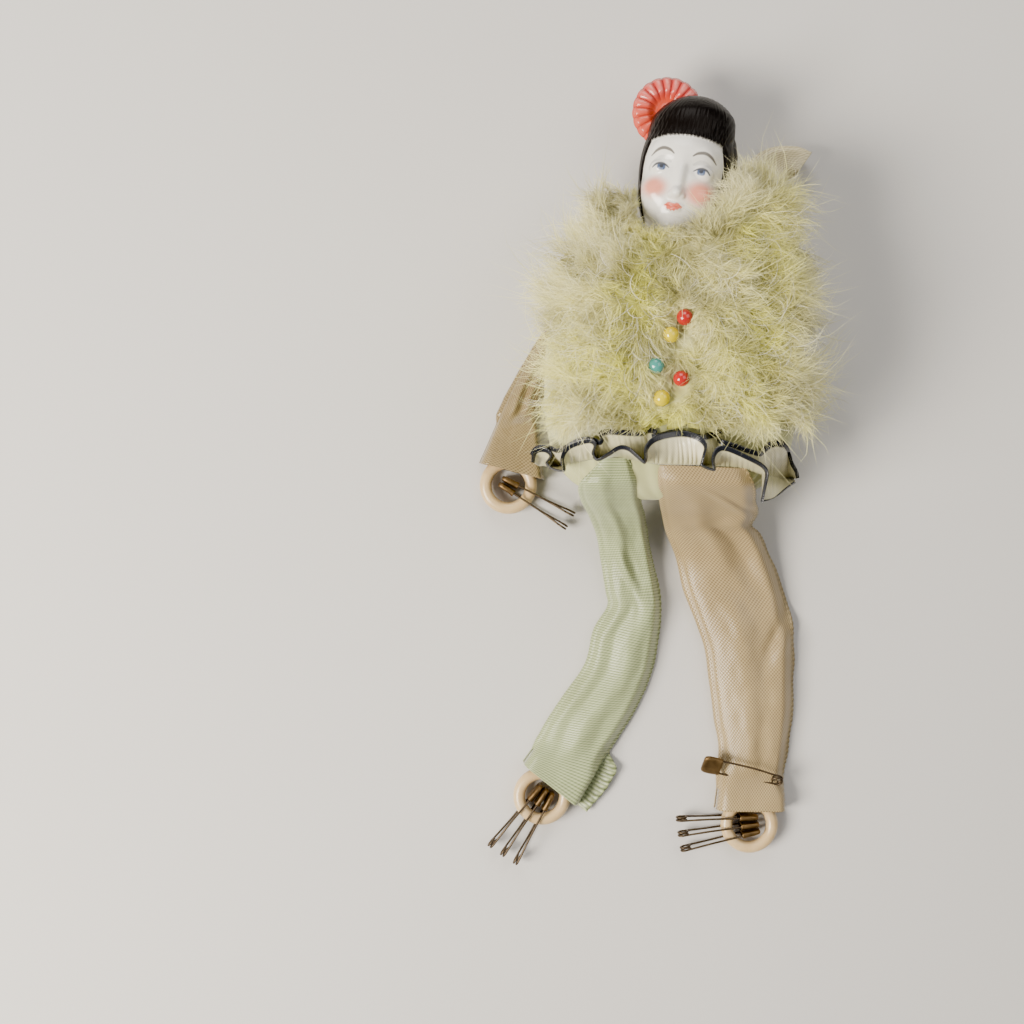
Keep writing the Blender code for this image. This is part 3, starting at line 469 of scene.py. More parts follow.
def hair_depth(points):
    centre, half = HAIR
    lower = np.where(points[..., 1] < centre[1], HAIR_HANG, half[1])
    offset = np.abs(points - np.array(centre, float))
    shares = np.stack([offset[..., 0] / half[0], offset[..., 1] / lower, offset[..., 2] / half[2]], -1)
    return (np.sum(shares**HAIR_SQUARE, -1) ** (1 / HAIR_SQUARE) - 1) * HAIR_SCALE


def reach(depth_of, directions):
    """How far the surface is from the head's core along each direction."""
    near, far = np.zeros(len(directions)), np.full(len(directions), FARTHEST)
    for _ in range(HALVINGS):
        middle = (near + far) / 2
        outside = depth_of(HEAD_CORE + directions * middle[:, None]) > 0
        near, far = np.where(outside, near, middle), np.where(outside, middle, far)
    return (near + far) / 2


def past_hairline(points):
    """How far, in millimetres, each point lies past the fringe or the side edge of the hair."""
    right, up, forward = points.T
    ragged = 0.12 * np.sin(right * 5.3) + 0.08 * np.sin(right * 11.7 + 1)
    fringe = FRINGE_UP - FRINGE_BEND * (right - FRINGE_LEFT) ** 2 + ragged
    side = SIDE_EDGE - np.where(up > SIDE_UP, *SIDE_BENDS) * (up - SIDE_UP) ** 2
    return np.maximum(np.maximum(up - fringe, np.abs(right) - side), -forward)


def hair_cover(points):
    """How much of the moulded hair lies over each point of the skin, 0 to 1."""
    return smooth(-0.12, 0.12, past_hairline(points)) * smooth(7.0, 8.0, points[:, 1] + 0.25 * points[:, 2])


def hair_body(points):
    """The hair is thin at its cut edge and thickens away from it."""
    return smooth(-1.0, 6.5, past_hairline(points))


def strand_grooves(points):
    """Fine grooves that run down from the crown."""
    right, up, forward = points.T
    turn = np.arctan2(right - 2.0, np.hypot(52 - up, 0.3 * forward) + 6)
    around = np.arctan2(right - 1.0, forward + 3.0)
    phase = np.where(forward > 6, turn, around * 0.6)
    return sum(depth * np.sin(phase * count + start) for depth, count, start in GROOVES)


def near_line(right, up, line, widths):
    """1 on a painted line through points, fading over its width; widths are half-widths at its points."""
    line, best = np.asarray(line, float), np.zeros_like(right)
    for (a, b), (wide_a, wide_b) in zip(zip(line, line[1:]), zip(widths, widths[1:])):
        run = b - a
        share = np.clip(((right - a[0]) * run[0] + (up - a[1]) * run[1]) / (run @ run), 0, 1)
        off = np.hypot(right - a[0] - share * run[0], up - a[1] - share * run[1])
        wide = wide_a + (wide_b - wide_a) * share
        best = np.maximum(best, 1 - smooth(0.6, 1.25, off / wide))
    return best


def laid_over(colour, paint, share):
    return colour + (paint - colour) * np.clip(share, 0, 1)[:, None]


EYE_CREASE = ((-2.8, 2.0), (-1.2, 2.9), (1.0, 2.95), (3.2, 1.5)), (0.35, 0.75, 0.75, 0.3)
LID_LINE = ((-2.5, 0.1), (-1.4, 0.85), (0.0, 1.15), (1.5, 0.75), (2.6, -0.3)), (0.18, 0.4, 0.46, 0.42, 0.2)
BROW = ((-3.4, 4.5), (-2.0, 5.5), (0.2, 6.0), (2.2, 5.3), (3.8, 3.9)), (0.22, 0.50, 0.58, 0.50, 0.18)
EYE_WHITE, IRIS_LOWER = np.array([0.80, 0.80, 0.80]), np.array([0.25, 0.31, 0.46])


def painted_eye(colour, x, height, front):
    """One eye: x runs from the nose outwards and height up from the eye's middle."""
    def line(shape):
        points, widths = shape
        steps = np.linspace(0, 1, 24)
        at = np.linspace(0, 1, len(widths))
        return near_line(x, height, spline(points, len(steps)), np.interp(steps, at, widths))

    lid = 1.1 - 0.17 * (x + 0.1) ** 2
    under = -0.95 + 0.13 * (x + 0.2) ** 2
    opening = smooth(-0.12, 0.12, lid - height) * smooth(-0.15, 0.15, height - under) * front
    iris = 1 - smooth(1.15, 1.5, np.hypot(x + 0.15, height - 0.05))
    lower = 1 - smooth(0.5, 1.1, np.hypot(x, height + 0.75))
    pupil = 1 - smooth(0.5, 0.8, np.hypot(x + 0.15, height - 0.3))
    for paint, share in (
            (CREASE_SHADE, 0.5 * front * line(EYE_CREASE)), (EYE_WHITE, 0.7 * opening),
            (IRIS_BLUE, opening * iris), (IRIS_LOWER, 0.6 * opening * lower), (LID_DARK, opening * pupil),
            (LID_DARK, 0.92 * front * line(LID_LINE)), (BROW_GREY, 0.85 * front * line(BROW))):
        colour = laid_over(colour, paint, share)
    return colour


def painted_face(points, hair):
    """The painted colours over the glaze."""
    right, up, forward = points.T
    front = smooth(3.0, 6.0, forward)
    colour = np.repeat(WHITE[None], len(points), 0)
    for cheek, cheek_up, wide in CHEEKS:
        off = np.hypot((right - cheek) / wide, (up - cheek_up) / (wide * 0.8))
        colour = laid_over(colour, ROUGE, 0.95 * front * (1 - smooth(0.35, 1.2, off)))
    for side in (-1, 1):
        colour = painted_eye(colour, (right - side * EYE_OFF) * side, up - EYE_LINE, front)
    right = right + MOUTH_LEFT
    bow = 13.75 + 0.28 * np.cos(right * 2.0 + math.pi) * smooth(2.6, 1.8, np.abs(right)) - 0.10 * right**2
    pout = 11.35 + 0.16 * right**2 + 0.12 * np.sin(right * 6 + 1)
    lips = smooth(-0.12, 0.12, bow - up) * smooth(-0.12, 0.12, up - pout)
    colour = laid_over(colour, LIP_RED, 0.93 * front * lips)
    parting = 1 - smooth(0.05, 0.28, np.abs(up - 12.65 - 0.04 * right**2))
    colour = laid_over(colour, LIP_RED * 0.5, 0.5 * front * lips * parting)
    return laid_over(colour, BLACK_HAIR, smooth(0.0, 0.25, hair))


def from_head(points):
    """Points of the head's frame, in the row frame."""
    right, up, forward = np.asarray(points, float).T
    c, s = math.cos(HEAD_TILT), math.sin(HEAD_TILT)
    return np.column_stack([
        FLANGE[0] + right * c + up * s, FLANGE[1] + up * c - right * s, FLANGE[2] + forward])


def from_face(points):
    """Points of the turned face's frame, in the head's frame."""
    right, up, forward = np.asarray(points, float).T
    c, s = math.cos(FACE_ROLL), math.sin(FACE_ROLL)
    right, up = right * c + (up - EYE_LINE) * s, EYE_LINE + (up - EYE_LINE) * c - right * s
    c, s = math.cos(FACE_YAW), math.sin(FACE_YAW)
    return np.column_stack([FACE_MIDDLE + right * c - forward * s, up, right * s + forward * c])


def head_piece():
    """Face and hair as one closed skin, finest round the painted features."""
    front, back, columns = 150, 55, 476
    edge = math.radians(72)
    off_axis = np.concatenate([
        np.linspace(0.002, edge, front, endpoint=False), np.linspace(edge, math.pi - 0.01, back)])
    turn = circle(columns)
    a, b = (side.ravel() for side in np.meshgrid(off_axis, turn, indexing="ij"))
    directions = np.column_stack([np.sin(a) * np.cos(b), np.sin(a) * np.sin(b), np.cos(a)])
    skin, hair = reach(skin_depth, directions), reach(hair_depth, directions)
    bare = HEAD_CORE + directions * skin[:, None]
    cover = hair_cover(bare)
    full = np.maximum(hair - skin, HAIR_EDGE)
    grown = HEAD_CORE + directions * (skin + full)[:, None]
    thick = (HAIR_EDGE + (full - HAIR_EDGE) * hair_body(bare)) * cover + strand_grooves(grown) * cover
    points = HEAD_CORE + directions * (skin + thick)[:, None]
    colour = painted_face(points, cover)
    return from_head(from_face(points)), closed_faces(len(off_axis), columns), colour


COMB_MIDDLE, COMB_RADIUS, COMB_LOBES = (-6.8, 46.0, -4.6), 11.4, 20
COMB_RISE, LOBE_RISE, COMB_DEEP = 1.3, 0.75, 1.6  # height of its front and lobes, depth of its back
# The comb's red and orange paint, and the pink of the painted highlight on its lobes' crests
COMB_RED, COMB_ORANGE, COMB_HIGHLIGHT = np.array(
    ((0.54, 0.04, 0.035), (0.60, 0.07, 0.03), (0.74, 0.19, 0.16)))


def comb_piece():
    """The fluted comb behind the hair: a round shell with lobes along its rim."""
    columns = 22 * COMB_LOBES
    shares = np.concatenate([np.linspace(0.02, 0.24, 5), np.linspace(0.26, 1.0, 46)])
    turn = circle(columns)
    share, angle = (side.ravel() for side in np.meshgrid(shares, turn, indexing="ij"))
    lobe = np.abs(np.sin(angle * COMB_LOBES / 2)) ** 0.7
    out = smooth(0.28, 0.62, share)
    radius = COMB_RADIUS * share * (1 - 0.025 * (1 - lobe) * out)
    rise = COMB_RISE - 0.4 * smooth(0.1, 0.3, share)
    dome = np.sqrt(np.clip(1 - ((share - 0.66) / 0.36) ** 2, 0, 1))
    rise = rise + out * (COMB_RISE + LOBE_RISE * lobe) * dome
    rise = rise - 1.0 * smooth(0.9, 1.0, share)
    front = np.column_stack([
        COMB_MIDDLE[0] + radius * np.cos(angle), COMB_MIDDLE[1] + radius * np.sin(angle),
        COMB_MIDDLE[2] + rise])
    back = front.copy()
    back[:, 2] = COMB_MIDDLE[2] - COMB_DEEP * np.sqrt(np.clip(1 - share**4, 0, 1)) * (1 - 0.1 * lobe)
    count, rows = len(front), len(shares)
    top = grid_faces(rows, columns, round_columns=True)
    rim = (rows - 1) * columns + np.arange(columns)
    caps = np.array([np.arange(columns)[::-1], count + np.arange(columns)])
    # Painted highlight in pink along the lobes' crests, stronger towards the comb's upper side, which glow
    # marks; there the paint is also redder, and more orange below
    crest_highlight = out * lobe**2 * smooth(0.4, 0.7, share) * smooth(1.02, 0.9, share)
    glow = smooth(-0.9, 0.8, np.sin(angle) + 0.35 * np.cos(angle))
    colour = laid_over(COMB_ORANGE + (COMB_RED - COMB_ORANGE) * (glow * out)[:, None], COMB_HIGHLIGHT,
        (0.35 + 0.55 * glow) * crest_highlight)
    # painted shade: darker red in the grooves between the lobes
    colour = laid_over(colour, COMB_RED * 0.6, 0.6 * out * (1 - smooth(0.1, 0.45, lobe)))
    faces = [top, top[:, ::-1] + count, rim_faces(rim, count), caps]
    return from_head(np.vstack([front, back])), faces, np.vstack([colour, colour])


# Height, half-width and half-depth of the flange and neck
BUST = (
    (0.2, 19, 12.5), (2.4, 19, 12.5), (3.4, 15, 10.5), (6.0, 9.5, 8.0), (9.0, 6.6, 6.6), (14.0, 6.4, 6.4))


def bust_piece():
    """The neck and shoulder flange under the feathers."""
    count = 48
    turn = circle(count)
    rings = [np.column_stack([wide * np.cos(turn), np.full(count, up), deep * np.sin(turn)])
             for up, wide, deep in BUST]
    points = np.vstack(rings)
    faces = closed_faces(len(rings), count, turned=True)
    return from_head(points), faces, np.repeat(WHITE[None], len(points), 0)


def make_head():
    glaze = porcelain()
    for name, (points, faces, colour) in (
            ("head", head_piece()), ("comb", comb_piece()), ("bust", bust_piece())):
        dress(mesh_object(name, points, faces, colour=colour), glaze, "doll", "porcelain", "half_doll")


# Cushion and feathers

CUSHION_MIDDLE = np.array([6.075, 34.6, 22.5])
CUSHION_HALF = np.array([42.0, 40.5, 23.0])
CUSHION_SQUARE, CUSHION_END_SQUARE = 2.6, 3.0
CUSHION_NECK = 0.93  # where its cover stops, as a share of its half-length


def cushion_halves(along):
    """Half-width and half-depth at a share of the half-length, -1 at the legs to 1 at the neck."""
    full = np.maximum(1 - np.abs(along) ** CUSHION_END_SQUARE, 0) ** (1 / CUSHION_END_SQUARE)
    narrow = (1 - 0.22 * np.maximum(along, 0) ** 2) * (1 - 0.05 * (1 - along**2))
    return CUSHION_HALF[0] * full * narrow, CUSHION_HALF[2] * full


def cushion_front(x, y):
    """Height of the cushion's front over a place in the plan."""
    along = np.clip((y - CUSHION_MIDDLE[1]) / CUSHION_HALF[1], -0.99, 0.97)
    wide, deep = cushion_halves(along)
    across = np.minimum(np.abs(x - CUSHION_MIDDLE[0]) / wide, 0.999)
    return CUSHION_MIDDLE[2] + deep * (1 - across**CUSHION_SQUARE) ** (1 / CUSHION_SQUARE)


def unit(vectors):
    return vectors / np.maximum(np.linalg.norm(vectors, axis=-1, keepdims=True), 1e-9)


DOWN_SHADE = np.array([0.38, 0.35, 0.13])  # painted shade, deep between the plumes and at the strands' roots
DOWN_GREEN = np.array([0.96, 0.93, 0.36])
DOWN_LEMON = np.array([1.0, 0.99, 0.19])
DOWN_CREAM = np.array([1.0, 0.96, 0.58])
DOWN_WHITE = np.array([1.0, 0.98, 0.88])
CHIN_PATCH = (5, 70, 8, 9)  # middle and widths of the shade under the chin
LEMON_PATCHES = ((-17, 36, 13, 15), (24, 36, 10, 19), (27, 73, 9, 11), (2, 17, 16, 6), (-8, 58, 12, 8))
STRAND_STATIONS = np.linspace(0, 1, 5)
CURL_STATIONS = np.linspace(0, 1, 10)
STRAND_WIDTH = 0.17
LOCK_BEND, LOCK_DROOP = 0.55, 0.30  # spread of a quill's bend sideways, and its bend down
STRANDS_FROM = 0.45  # share along a quill over which its strands leave it
STRAND_FAN = 0.34  # spread of their angles to it, in radians
STRAND_TAPER = ((0, 0.25, 0.5, 0.75, 1), (0.8, 1.0, 0.92, 0.66, 0.08))
WISP_SHARE = 0.07  # of the strands, which reach past the rest
PIN_ROOM = 1.7


def soft_patch(x, y, mid_x, mid_y, wide, tall):
    return np.exp(-(((x - mid_x) / wide) ** 2) - ((y - mid_y) / tall) ** 2)


def down_colour(points, random):
    """Cream at the edges of the trim, green in its body, lemon in soft patches, with painted shade in its
    hollows and under the chin.
    """
    x, y = points[:, 0], points[:, 1]
    lemon = sum(soft_patch(x, y, *place) for place in LEMON_PATCHES)
    patch = wobble(5, x, y, scale=0.16) + random.normal(0, 0.16, len(x))
    inside = smooth(52, 26, np.abs(x - 8)) * smooth(100, 70, y)
    green = np.clip(0.35 * inside + 0.3 * patch + 0.2, 0, 1)
    colour = laid_over(np.repeat(DOWN_CREAM[None], len(x), 0), DOWN_GREEN, green)
    colour = laid_over(colour, DOWN_LEMON, np.clip(0.9 * lemon + 0.35 * patch, 0, 0.9))
    # painted shade in drifting hollows and under the chin
    hollow_shade = smooth(0.05, -0.5, wobble(6, x, y, scale=0.30))
    return laid_over(colour, DOWN_SHADE, 0.55 * hollow_shade + 0.45 * soft_patch(x, y, *CHIN_PATCH))


def strips(path, facing, widths):
    """Flat strands along rows of points: points and faces."""
    count, stations = path.shape[:2]
    taper = np.interp(np.linspace(0, 1, stations), *STRAND_TAPER)[None, :, None]
    half = (STRAND_WIDTH / 2 * widths)[:, None, None]
    edge = unit(np.cross(np.gradient(path, axis=1), facing[:, None])) * half * taper
    points = np.stack([path - edge, path + edge], axis=2).reshape(-1, 3)
    strip = grid_faces(stations, 2)
    return points, (strip[None] + 2 * stations * np.arange(count)[:, None, None]).reshape(-1, 4)


FRONT_LENGTHS, COLLAR_LENGTHS = (6.5, 13.0), (7.5, 13.5)  # shortest and longest locks
CURL_LONGER = 1.25  # a curl's length beside a lock's
LOCK_STRANDS = 27
STRAND_ROOM, STRAND_REACH = 0.025, 8.8  # how far a strand may stand out of the solids' box


def kept_strands(path):
    """Which strands leave room round each glass pin's line of pull, and keep near the doll."""
    low, high = np.array(CAD_LOW) / MM, np.array(CAD_HIGH) / MM
    room = STRAND_ROOM * (high - low) + STRAND_REACH
    clear = ((path > low - room) & (path < high + room)).all(axis=(1, 2))
    for name in GLASS:
        out = unit(np.array(JOINTS[name + "_pull"]["axis"], float))
        off = np.linalg.norm(np.cross(path - middle_of(*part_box(name + "_shaft")), out), axis=2)
        clear &= np.minimum(off.min(1), (off[:, 1:] + off[:, :-1]).min(1) / 2) > PIN_ROOM
    return clear


def locks(seed, roots, headings, lengths):
    """Locks of down: strands that fan out from a bending quill. Returns points, faces and colours."""
    random = np.random.default_rng(SEED + seed)
    count = len(roots)
    headings = unit(headings)
    upward = unit(np.array([0.0, 0.0, 1.0]) + random.normal(0, 0.25, (count, 3)))
    sideways = unit(np.cross(headings, upward))
    bend = sideways * random.normal(0, LOCK_BEND, (count, 1)) - LOCK_DROOP * upward
    shape = (count, LOCK_STRANDS, 1)
    begin = random.uniform(0, STRANDS_FROM, shape)
    fan = random.normal(0, STRAND_FAN, shape) + 0.25 * random.choice([-1.0, 1.0], shape) * begin
    away = np.cos(fan) * headings[:, None] + np.sin(fan) * sideways[:, None]
    away = unit(away + random.normal(0, 0.13, away.shape) * upward[:, None]
        + random.normal(0, 0.06, away.shape))
    wisp = (random.uniform(0, 1, shape) < WISP_SHARE) * random.uniform(0.3, 0.9, shape)
    long = lengths[:, None, None] * (random.uniform(0.45, 1.0, shape) + wisp) * (1 - 0.4 * begin)
    start = roots[:, None] + lengths[:, None, None] * begin * (headings + 0.5 * bend * 0.45)[:, None]
    start = start + random.normal(0, 0.45, away.shape)
    curl = bend[:, None] * random.uniform(0.6, 1.5, shape) + random.normal(0, 0.16, away.shape)
    swirl = random.normal(0, 0.15, away.shape) - 0.06 * upward[:, None]

    total = count * LOCK_STRANDS
    start, away, long, curl, swirl = (a.reshape(total, 1, -1) for a in (start, away, long, curl, swirl))
    t = STRAND_STATIONS[None, :, None]
    path = start + long * (away * t + curl * t**2 + swirl * np.sin(2.6 * math.pi * t) * t)
    facing = np.repeat(upward, LOCK_STRANDS, 0) + random.normal(0, 0.55, (total, 3))
    clear = kept_strands(path)
    path, facing, begin = path[clear], facing[clear], begin.reshape(total, 1, 1)[clear]
    points, faces = strips(path, facing, random.uniform(0.55, 1.25, len(path)))

    tone = down_colour(path[:, len(STRAND_STATIONS) // 2], random)
    tone = tone * random.uniform(0.84, 1.08, (len(path), 1))
    # painted shade: each strand darkens towards its root, deep in the lock
    shade = smooth(-0.2, 0.6, begin + STRAND_STATIONS[None, :, None])
    tip = 0.35 * smooth(0.4, 1.0, STRAND_STATIONS)[None, :, None]
    colour = DOWN_SHADE + (tone[:, None] - DOWN_SHADE) * shade
    colour = colour + (DOWN_WHITE - colour) * tip
    return points, [faces], np.repeat(colour, 2, 1).reshape(-1, 3)


def curls(seed, roots, angles, lengths):
    """Long single strands that curl over the locks. Returns points, faces and colours."""
    random = np.random.default_rng(SEED + seed)
    count = len(roots)
    turn = random.normal(0, 0.7, count)
    turn = turn + random.choice([-1.0, 1.0], count) * random.uniform(0.6, 2.4, count)
    angle = angles[:, None] + turn[:, None] * CURL_STATIONS[None] ** 1.2
    angle = angle + random.normal(0, 0.15, (count, 1))
    rise = random.uniform(0.2, 0.7, (count, 1)) - random.uniform(0.4, 1.2, (count, 1)) * CURL_STATIONS[None]
    pace = (lengths / len(CURL_STATIONS))[:, None, None]
    step = unit(np.stack([np.cos(angle), np.sin(angle), rise], 2)) * pace
    path = roots[:, None] + np.cumsum(step, axis=1)
    path = path[kept_strands(path)]
    facing = np.array([0.0, 0.0, 1.0]) + random.normal(0, 0.5, (len(path), 3))
    points, faces = strips(path, facing, random.uniform(0.6, 1.0, len(path)))
    tone = laid_over(down_colour(path[:, -1], random), DOWN_WHITE, np.full(len(path), 0.85))
    colour = np.repeat(tone[:, None], len(CURL_STATIONS), 1)
    return points, [faces], np.repeat(colour, 2, 1).reshape(-1, 3)


def locks_and_curls(seed, roots, headings, angles, lengths, full, single):
    """Locks at the full places and curls at the single ones."""
    return [locks(seed + 1, roots[full], headings[full], lengths[full]),
            curls(seed + 3, roots[single], angles[single], CURL_LONGER * lengths[single])]


# The trim's outline: how far each side reaches, by height
TRIM_HEIGHTS = (14, 21, 32, 44, 57, 66, 75)
TRIM_LEFT = (-24, -28, -29, -29, -31, -32, -25)
TRIM_RIGHT = (40, 46, 46.5, 43.5, 47, 48, 46)
TRIM_LOW, TRIM_HIGH = 16.5, 75.0
TRIM_THICK = 8.6


def parting(y):
    """The line down the front where the two sides of the trim meet."""
    return 2.5 + 0.09 * (y - 15)


def trim_edges(y):
    return np.interp(y, TRIM_HEIGHTS, TRIM_LEFT), np.interp(y, TRIM_HEIGHTS, TRIM_RIGHT)


def trim_thickness(x, y):
    """How far the soft body of the trim stands off the cushion."""
    left, right = trim_edges(y)
    middle = parting(y)
    side = np.where(x < middle, (middle - x) / (middle - left), (x - middle) / (right - middle))
    swell = 0.28 + 0.72 * np.sin(math.pi * np.clip(0.12 + 0.78 * side, 0, 1)) ** 0.8
    ends = smooth(TRIM_LOW - 3, TRIM_LOW + 10, y)
    return TRIM_THICK * swell * (0.45 + 0.55 * ends) * (1 + 0.24 * wobble(9, x, y, scale=0.24))


def under_trim(x, y):
    return np.maximum(cushion_front(x, y), 13)


def trim_bed(seed, side):
    """The soft body under the locks on one side of the front: points, faces and colours."""
    columns, rows = 50, 72
    share, y = np.meshgrid(np.linspace(0, 1, columns), np.linspace(TRIM_LOW, TRIM_HIGH, rows),
        indexing="ij")
    share, y = share.ravel(), y.ravel()
    outer = trim_edges(y)[side] + 1.3 * wobble(seed + 3, y, scale=0.5)
    inner = parting(y)
    x = outer + (inner - outer) * share
    y = y + 1.2 * smooth(TRIM_LOW + 8, TRIM_LOW, y) * wobble(seed + 4, x, scale=0.4)
    rim = np.minimum(np.abs(x - outer), np.minimum(y - TRIM_LOW, TRIM_HIGH - y) + 1.2)
    lump = trim_thickness(x, y) * quarter_round(rim / 6.0)
    rough = 0.5 * wobble(seed, x, y, scale=1.4) + 0.35 * wobble(seed + 1, x, y, scale=4.0)
    top = np.column_stack([x, y, under_trim(x, y) + 0.82 * lump + rough * smooth(0, 2, rim) - 0.8])
    bottom = np.column_stack([x, y, under_trim(x, y) - 2.0])
    front = grid_faces(columns, rows)
    count = len(top)
    edge = np.concatenate([np.arange(rows - 1), rows - 1 + rows * np.arange(columns - 1),
                           count - 1 - np.arange(rows - 1), rows * np.arange(columns - 1, 0, -1)])
    # painted shade: the body lies under the locks, so it is darker, a little unevenly
    shade = 0.72 + 0.2 * wobble(seed + 2, x, y, scale=1.2)
    tone = down_colour(top, np.random.default_rng(SEED + seed)) * shade[:, None]
    faces = [front, front[:, ::-1] + count, rim_faces(edge, count)]
    if side == 0:
        faces = [face[:, ::-1] for face in faces]
    return np.vstack([top, bottom]), faces, np.vstack([tone, tone])


CLEAR_PINS = ((3.7, 43.0), (6.4, 31.0), (0.9, 25.6))  # pin heads that the locks part round
CLEAR_ROOM = 3.4


def front_locks(seed, side, count, loose):
    """Locks over one side of the front, that flow outwards and down in drifts, and loose curls over them."""
    random = np.random.default_rng(SEED + seed)
    total = count + loose
    y = random.uniform(TRIM_LOW, TRIM_HIGH, total)
    outer, inner = trim_edges(y)[side], parting(y) + (1.5 if side == 0 else -1.5)
    share = random.uniform(0, 1, total)
    x = outer + (inner - outer) * share
    lift = trim_thickness(x, y) * random.uniform(0.55, 0.98, total) * (0.5 + 0.5 * smooth(0, 0.15, share))
    roots = np.column_stack([x, y, under_trim(x, y) + lift])
    out = -1.0 if side == 0 else 1.0
    drift = 1.5 * wobble(seed + 2, x, y, scale=0.22) + random.normal(0, 0.45, total)
    lean = out * (1.15 - 0.75 * share)
    fall = 0.55 * smooth(TRIM_LOW - 2, TRIM_LOW + 18, y) - 0.3 * smooth(30, 70, y)
    angle = np.arctan2(-fall, lean) + drift
    rise = 0.34 + random.normal(0, 0.14, total) - 0.5 * smooth(0.25, 0, share)
    low = smooth(TRIM_LOW + 10, TRIM_LOW + 2, y)
    headings = np.column_stack([np.cos(angle), np.sin(angle), rise + 0.2 * low])
    headings[:, 1] = np.maximum(headings[:, 1], -1 + 0.85 * low)
    angle = np.arctan2(headings[:, 1], headings[:, 0])
    calm = smooth(2, 13, np.abs(x - parting(y)))
    lengths = random.uniform(*FRONT_LENGTHS, total) * (0.62 + 0.38 * calm) * (1 - 0.3 * low)
    reach_x, reach_y = x + 0.5 * lengths * headings[:, 0], y + 0.5 * lengths * headings[:, 1]
    clear = np.ones(total, bool)
    for pin_x, pin_y in CLEAR_PINS:
        near = np.minimum(np.hypot(x - pin_x, y - pin_y), np.hypot(reach_x - pin_x, reach_y - pin_y))
        clear &= near > CLEAR_ROOM
    full = clear & (np.arange(total) < count)
    single = clear & (np.arange(total) >= count) & (calm > 0.5)
    return locks_and_curls(seed, roots, headings, angle, lengths, full, single)


# The collar: its middle line from the left cheek, under the chin, to the right cheek, and its radius
COLLAR_LINE = (
    (-8, 92, 18, 5), (-11, 85, 24, 7.5), (-11, 76.5, 31.5, 7.5), (-3, 70.5, 38, 7.5), (8, 69, 40.5, 7.5),
    (19, 72, 40, 8), (28.5, 79, 36, 8.5), (31, 89, 29, 7), (26.5, 98, 22, 4.5))
NECK_MIDDLE = np.array([7.5, 90.0])
CHIN_X = 1.5


def collar_bed(seed):
    """The soft roll under the collar's locks."""
    rings, sides = 90, 30
    line = spline(np.array(COLLAR_LINE, float), rings)
    middle, radius = line[:, :3], line[:, 3]
    _, first, second = frames_along(middle)
    around = circle(sides)[None, :, None]
    ends = np.sqrt(np.clip(1 - np.linspace(-1, 1, rings) ** 8, 0.02, 1))
    lumps = 1 + 0.14 * wobble(seed, np.linspace(0, 26, rings)[:, None], 2 * np.cos(around[..., 0]),
        2 * np.sin(around[..., 0]))
    ring = np.cos(around) * first[:, None] + np.sin(around) * second[:, None]
    points = (middle[:, None]
        + ring * (0.72 * radius * ends)[:, None, None] * lumps[..., None]).reshape(-1, 3)
    points += 0.35 * wobble(seed + 1, *points.T, scale=2.2)[:, None]
    # painted shade: the roll lies under the collar's locks, so it is darker
    tone = down_colour(points, np.random.default_rng(SEED + seed)) * 0.78
    return points, closed_faces(rings, sides), tone


def collar_locks(seed, count, loose):
    """Locks round the collar, most away from the face and some up the cheeks, with loose curls over them."""
    random = np.random.default_rng(SEED + seed)
    total = count + loose
    line = spline(np.array(COLLAR_LINE, float), 400)
    pick = random.integers(0, 400, total)
    middle, radius = line[pick, :3], line[pick, 3]
    away = unit(np.column_stack([middle[:, :2] - NECK_MIDDLE, np.zeros(total)]))
    spread = random.uniform(-1.0, 1.15, total)
    roots = middle + away * (spread * radius * 0.85)[:, None]
    roots[:, 2] += radius * np.sqrt(np.clip(1 - 0.72 * spread**2, 0, 1)) * random.uniform(0.6, 0.98, total)
    inward = random.uniform(0, 1, total) < smooth(0.3, -0.7, spread)
    drift = 0.9 * wobble(seed + 2, roots[:, 0], roots[:, 1], scale=0.25) + random.normal(0, 0.5, total)
    angle = np.arctan2(away[:, 1] + 0.2 * smooth(0, 20, middle[:, 0]), away[:, 0]) + drift
    angle = np.where(inward, np.arctan2(0.8, -0.25 * away[:, 0]) + 0.9 * drift, angle)
    rise = np.where(inward, 0.42, 0.30) + random.normal(0, 0.14, total)
    headings = np.column_stack([np.cos(angle), np.sin(angle), rise])
    lengths = random.uniform(*COLLAR_LENGTHS, total) * (0.68 + 0.32 * smooth(-12, 2, middle[:, 0]))
    lengths *= np.where(inward, 0.28 + 0.47 * smooth(7, 17, np.abs(roots[:, 0] - CHIN_X)), 1.0)
    lengths *= 1 - 0.5 * smooth(86, 97, roots[:, 1]) * smooth(15, 25, roots[:, 0])
    full, single = np.arange(total) < count, (np.arange(total) >= count) & ~inward & (spread > 0)
    return locks_and_curls(seed, roots, headings, angle, lengths, full, single)


def make_feathers():
    down = marabou("marabou_down")
    for name, bed, grown in (
            ("feather_front_left", trim_bed(40, 0), front_locks(50, 0, count=700, loose=900)),
            ("feather_front_right", trim_bed(60, 1), front_locks(70, 1, count=700, loose=900)),
            ("feather_collar", collar_bed(80), collar_locks(90, count=720, loose=1100))):
        layers = [bed, *grown]
        points, faces = joined([layer[:2] for layer in layers])
        piece = mesh_object(name + "_down", points, faces, colour=np.vstack([layer[2] for layer in layers]))
        dress(piece, down, "doll", "marabou", name)


# Ribbons: stations of the left edge's place, the right edge's place, underside and thickness

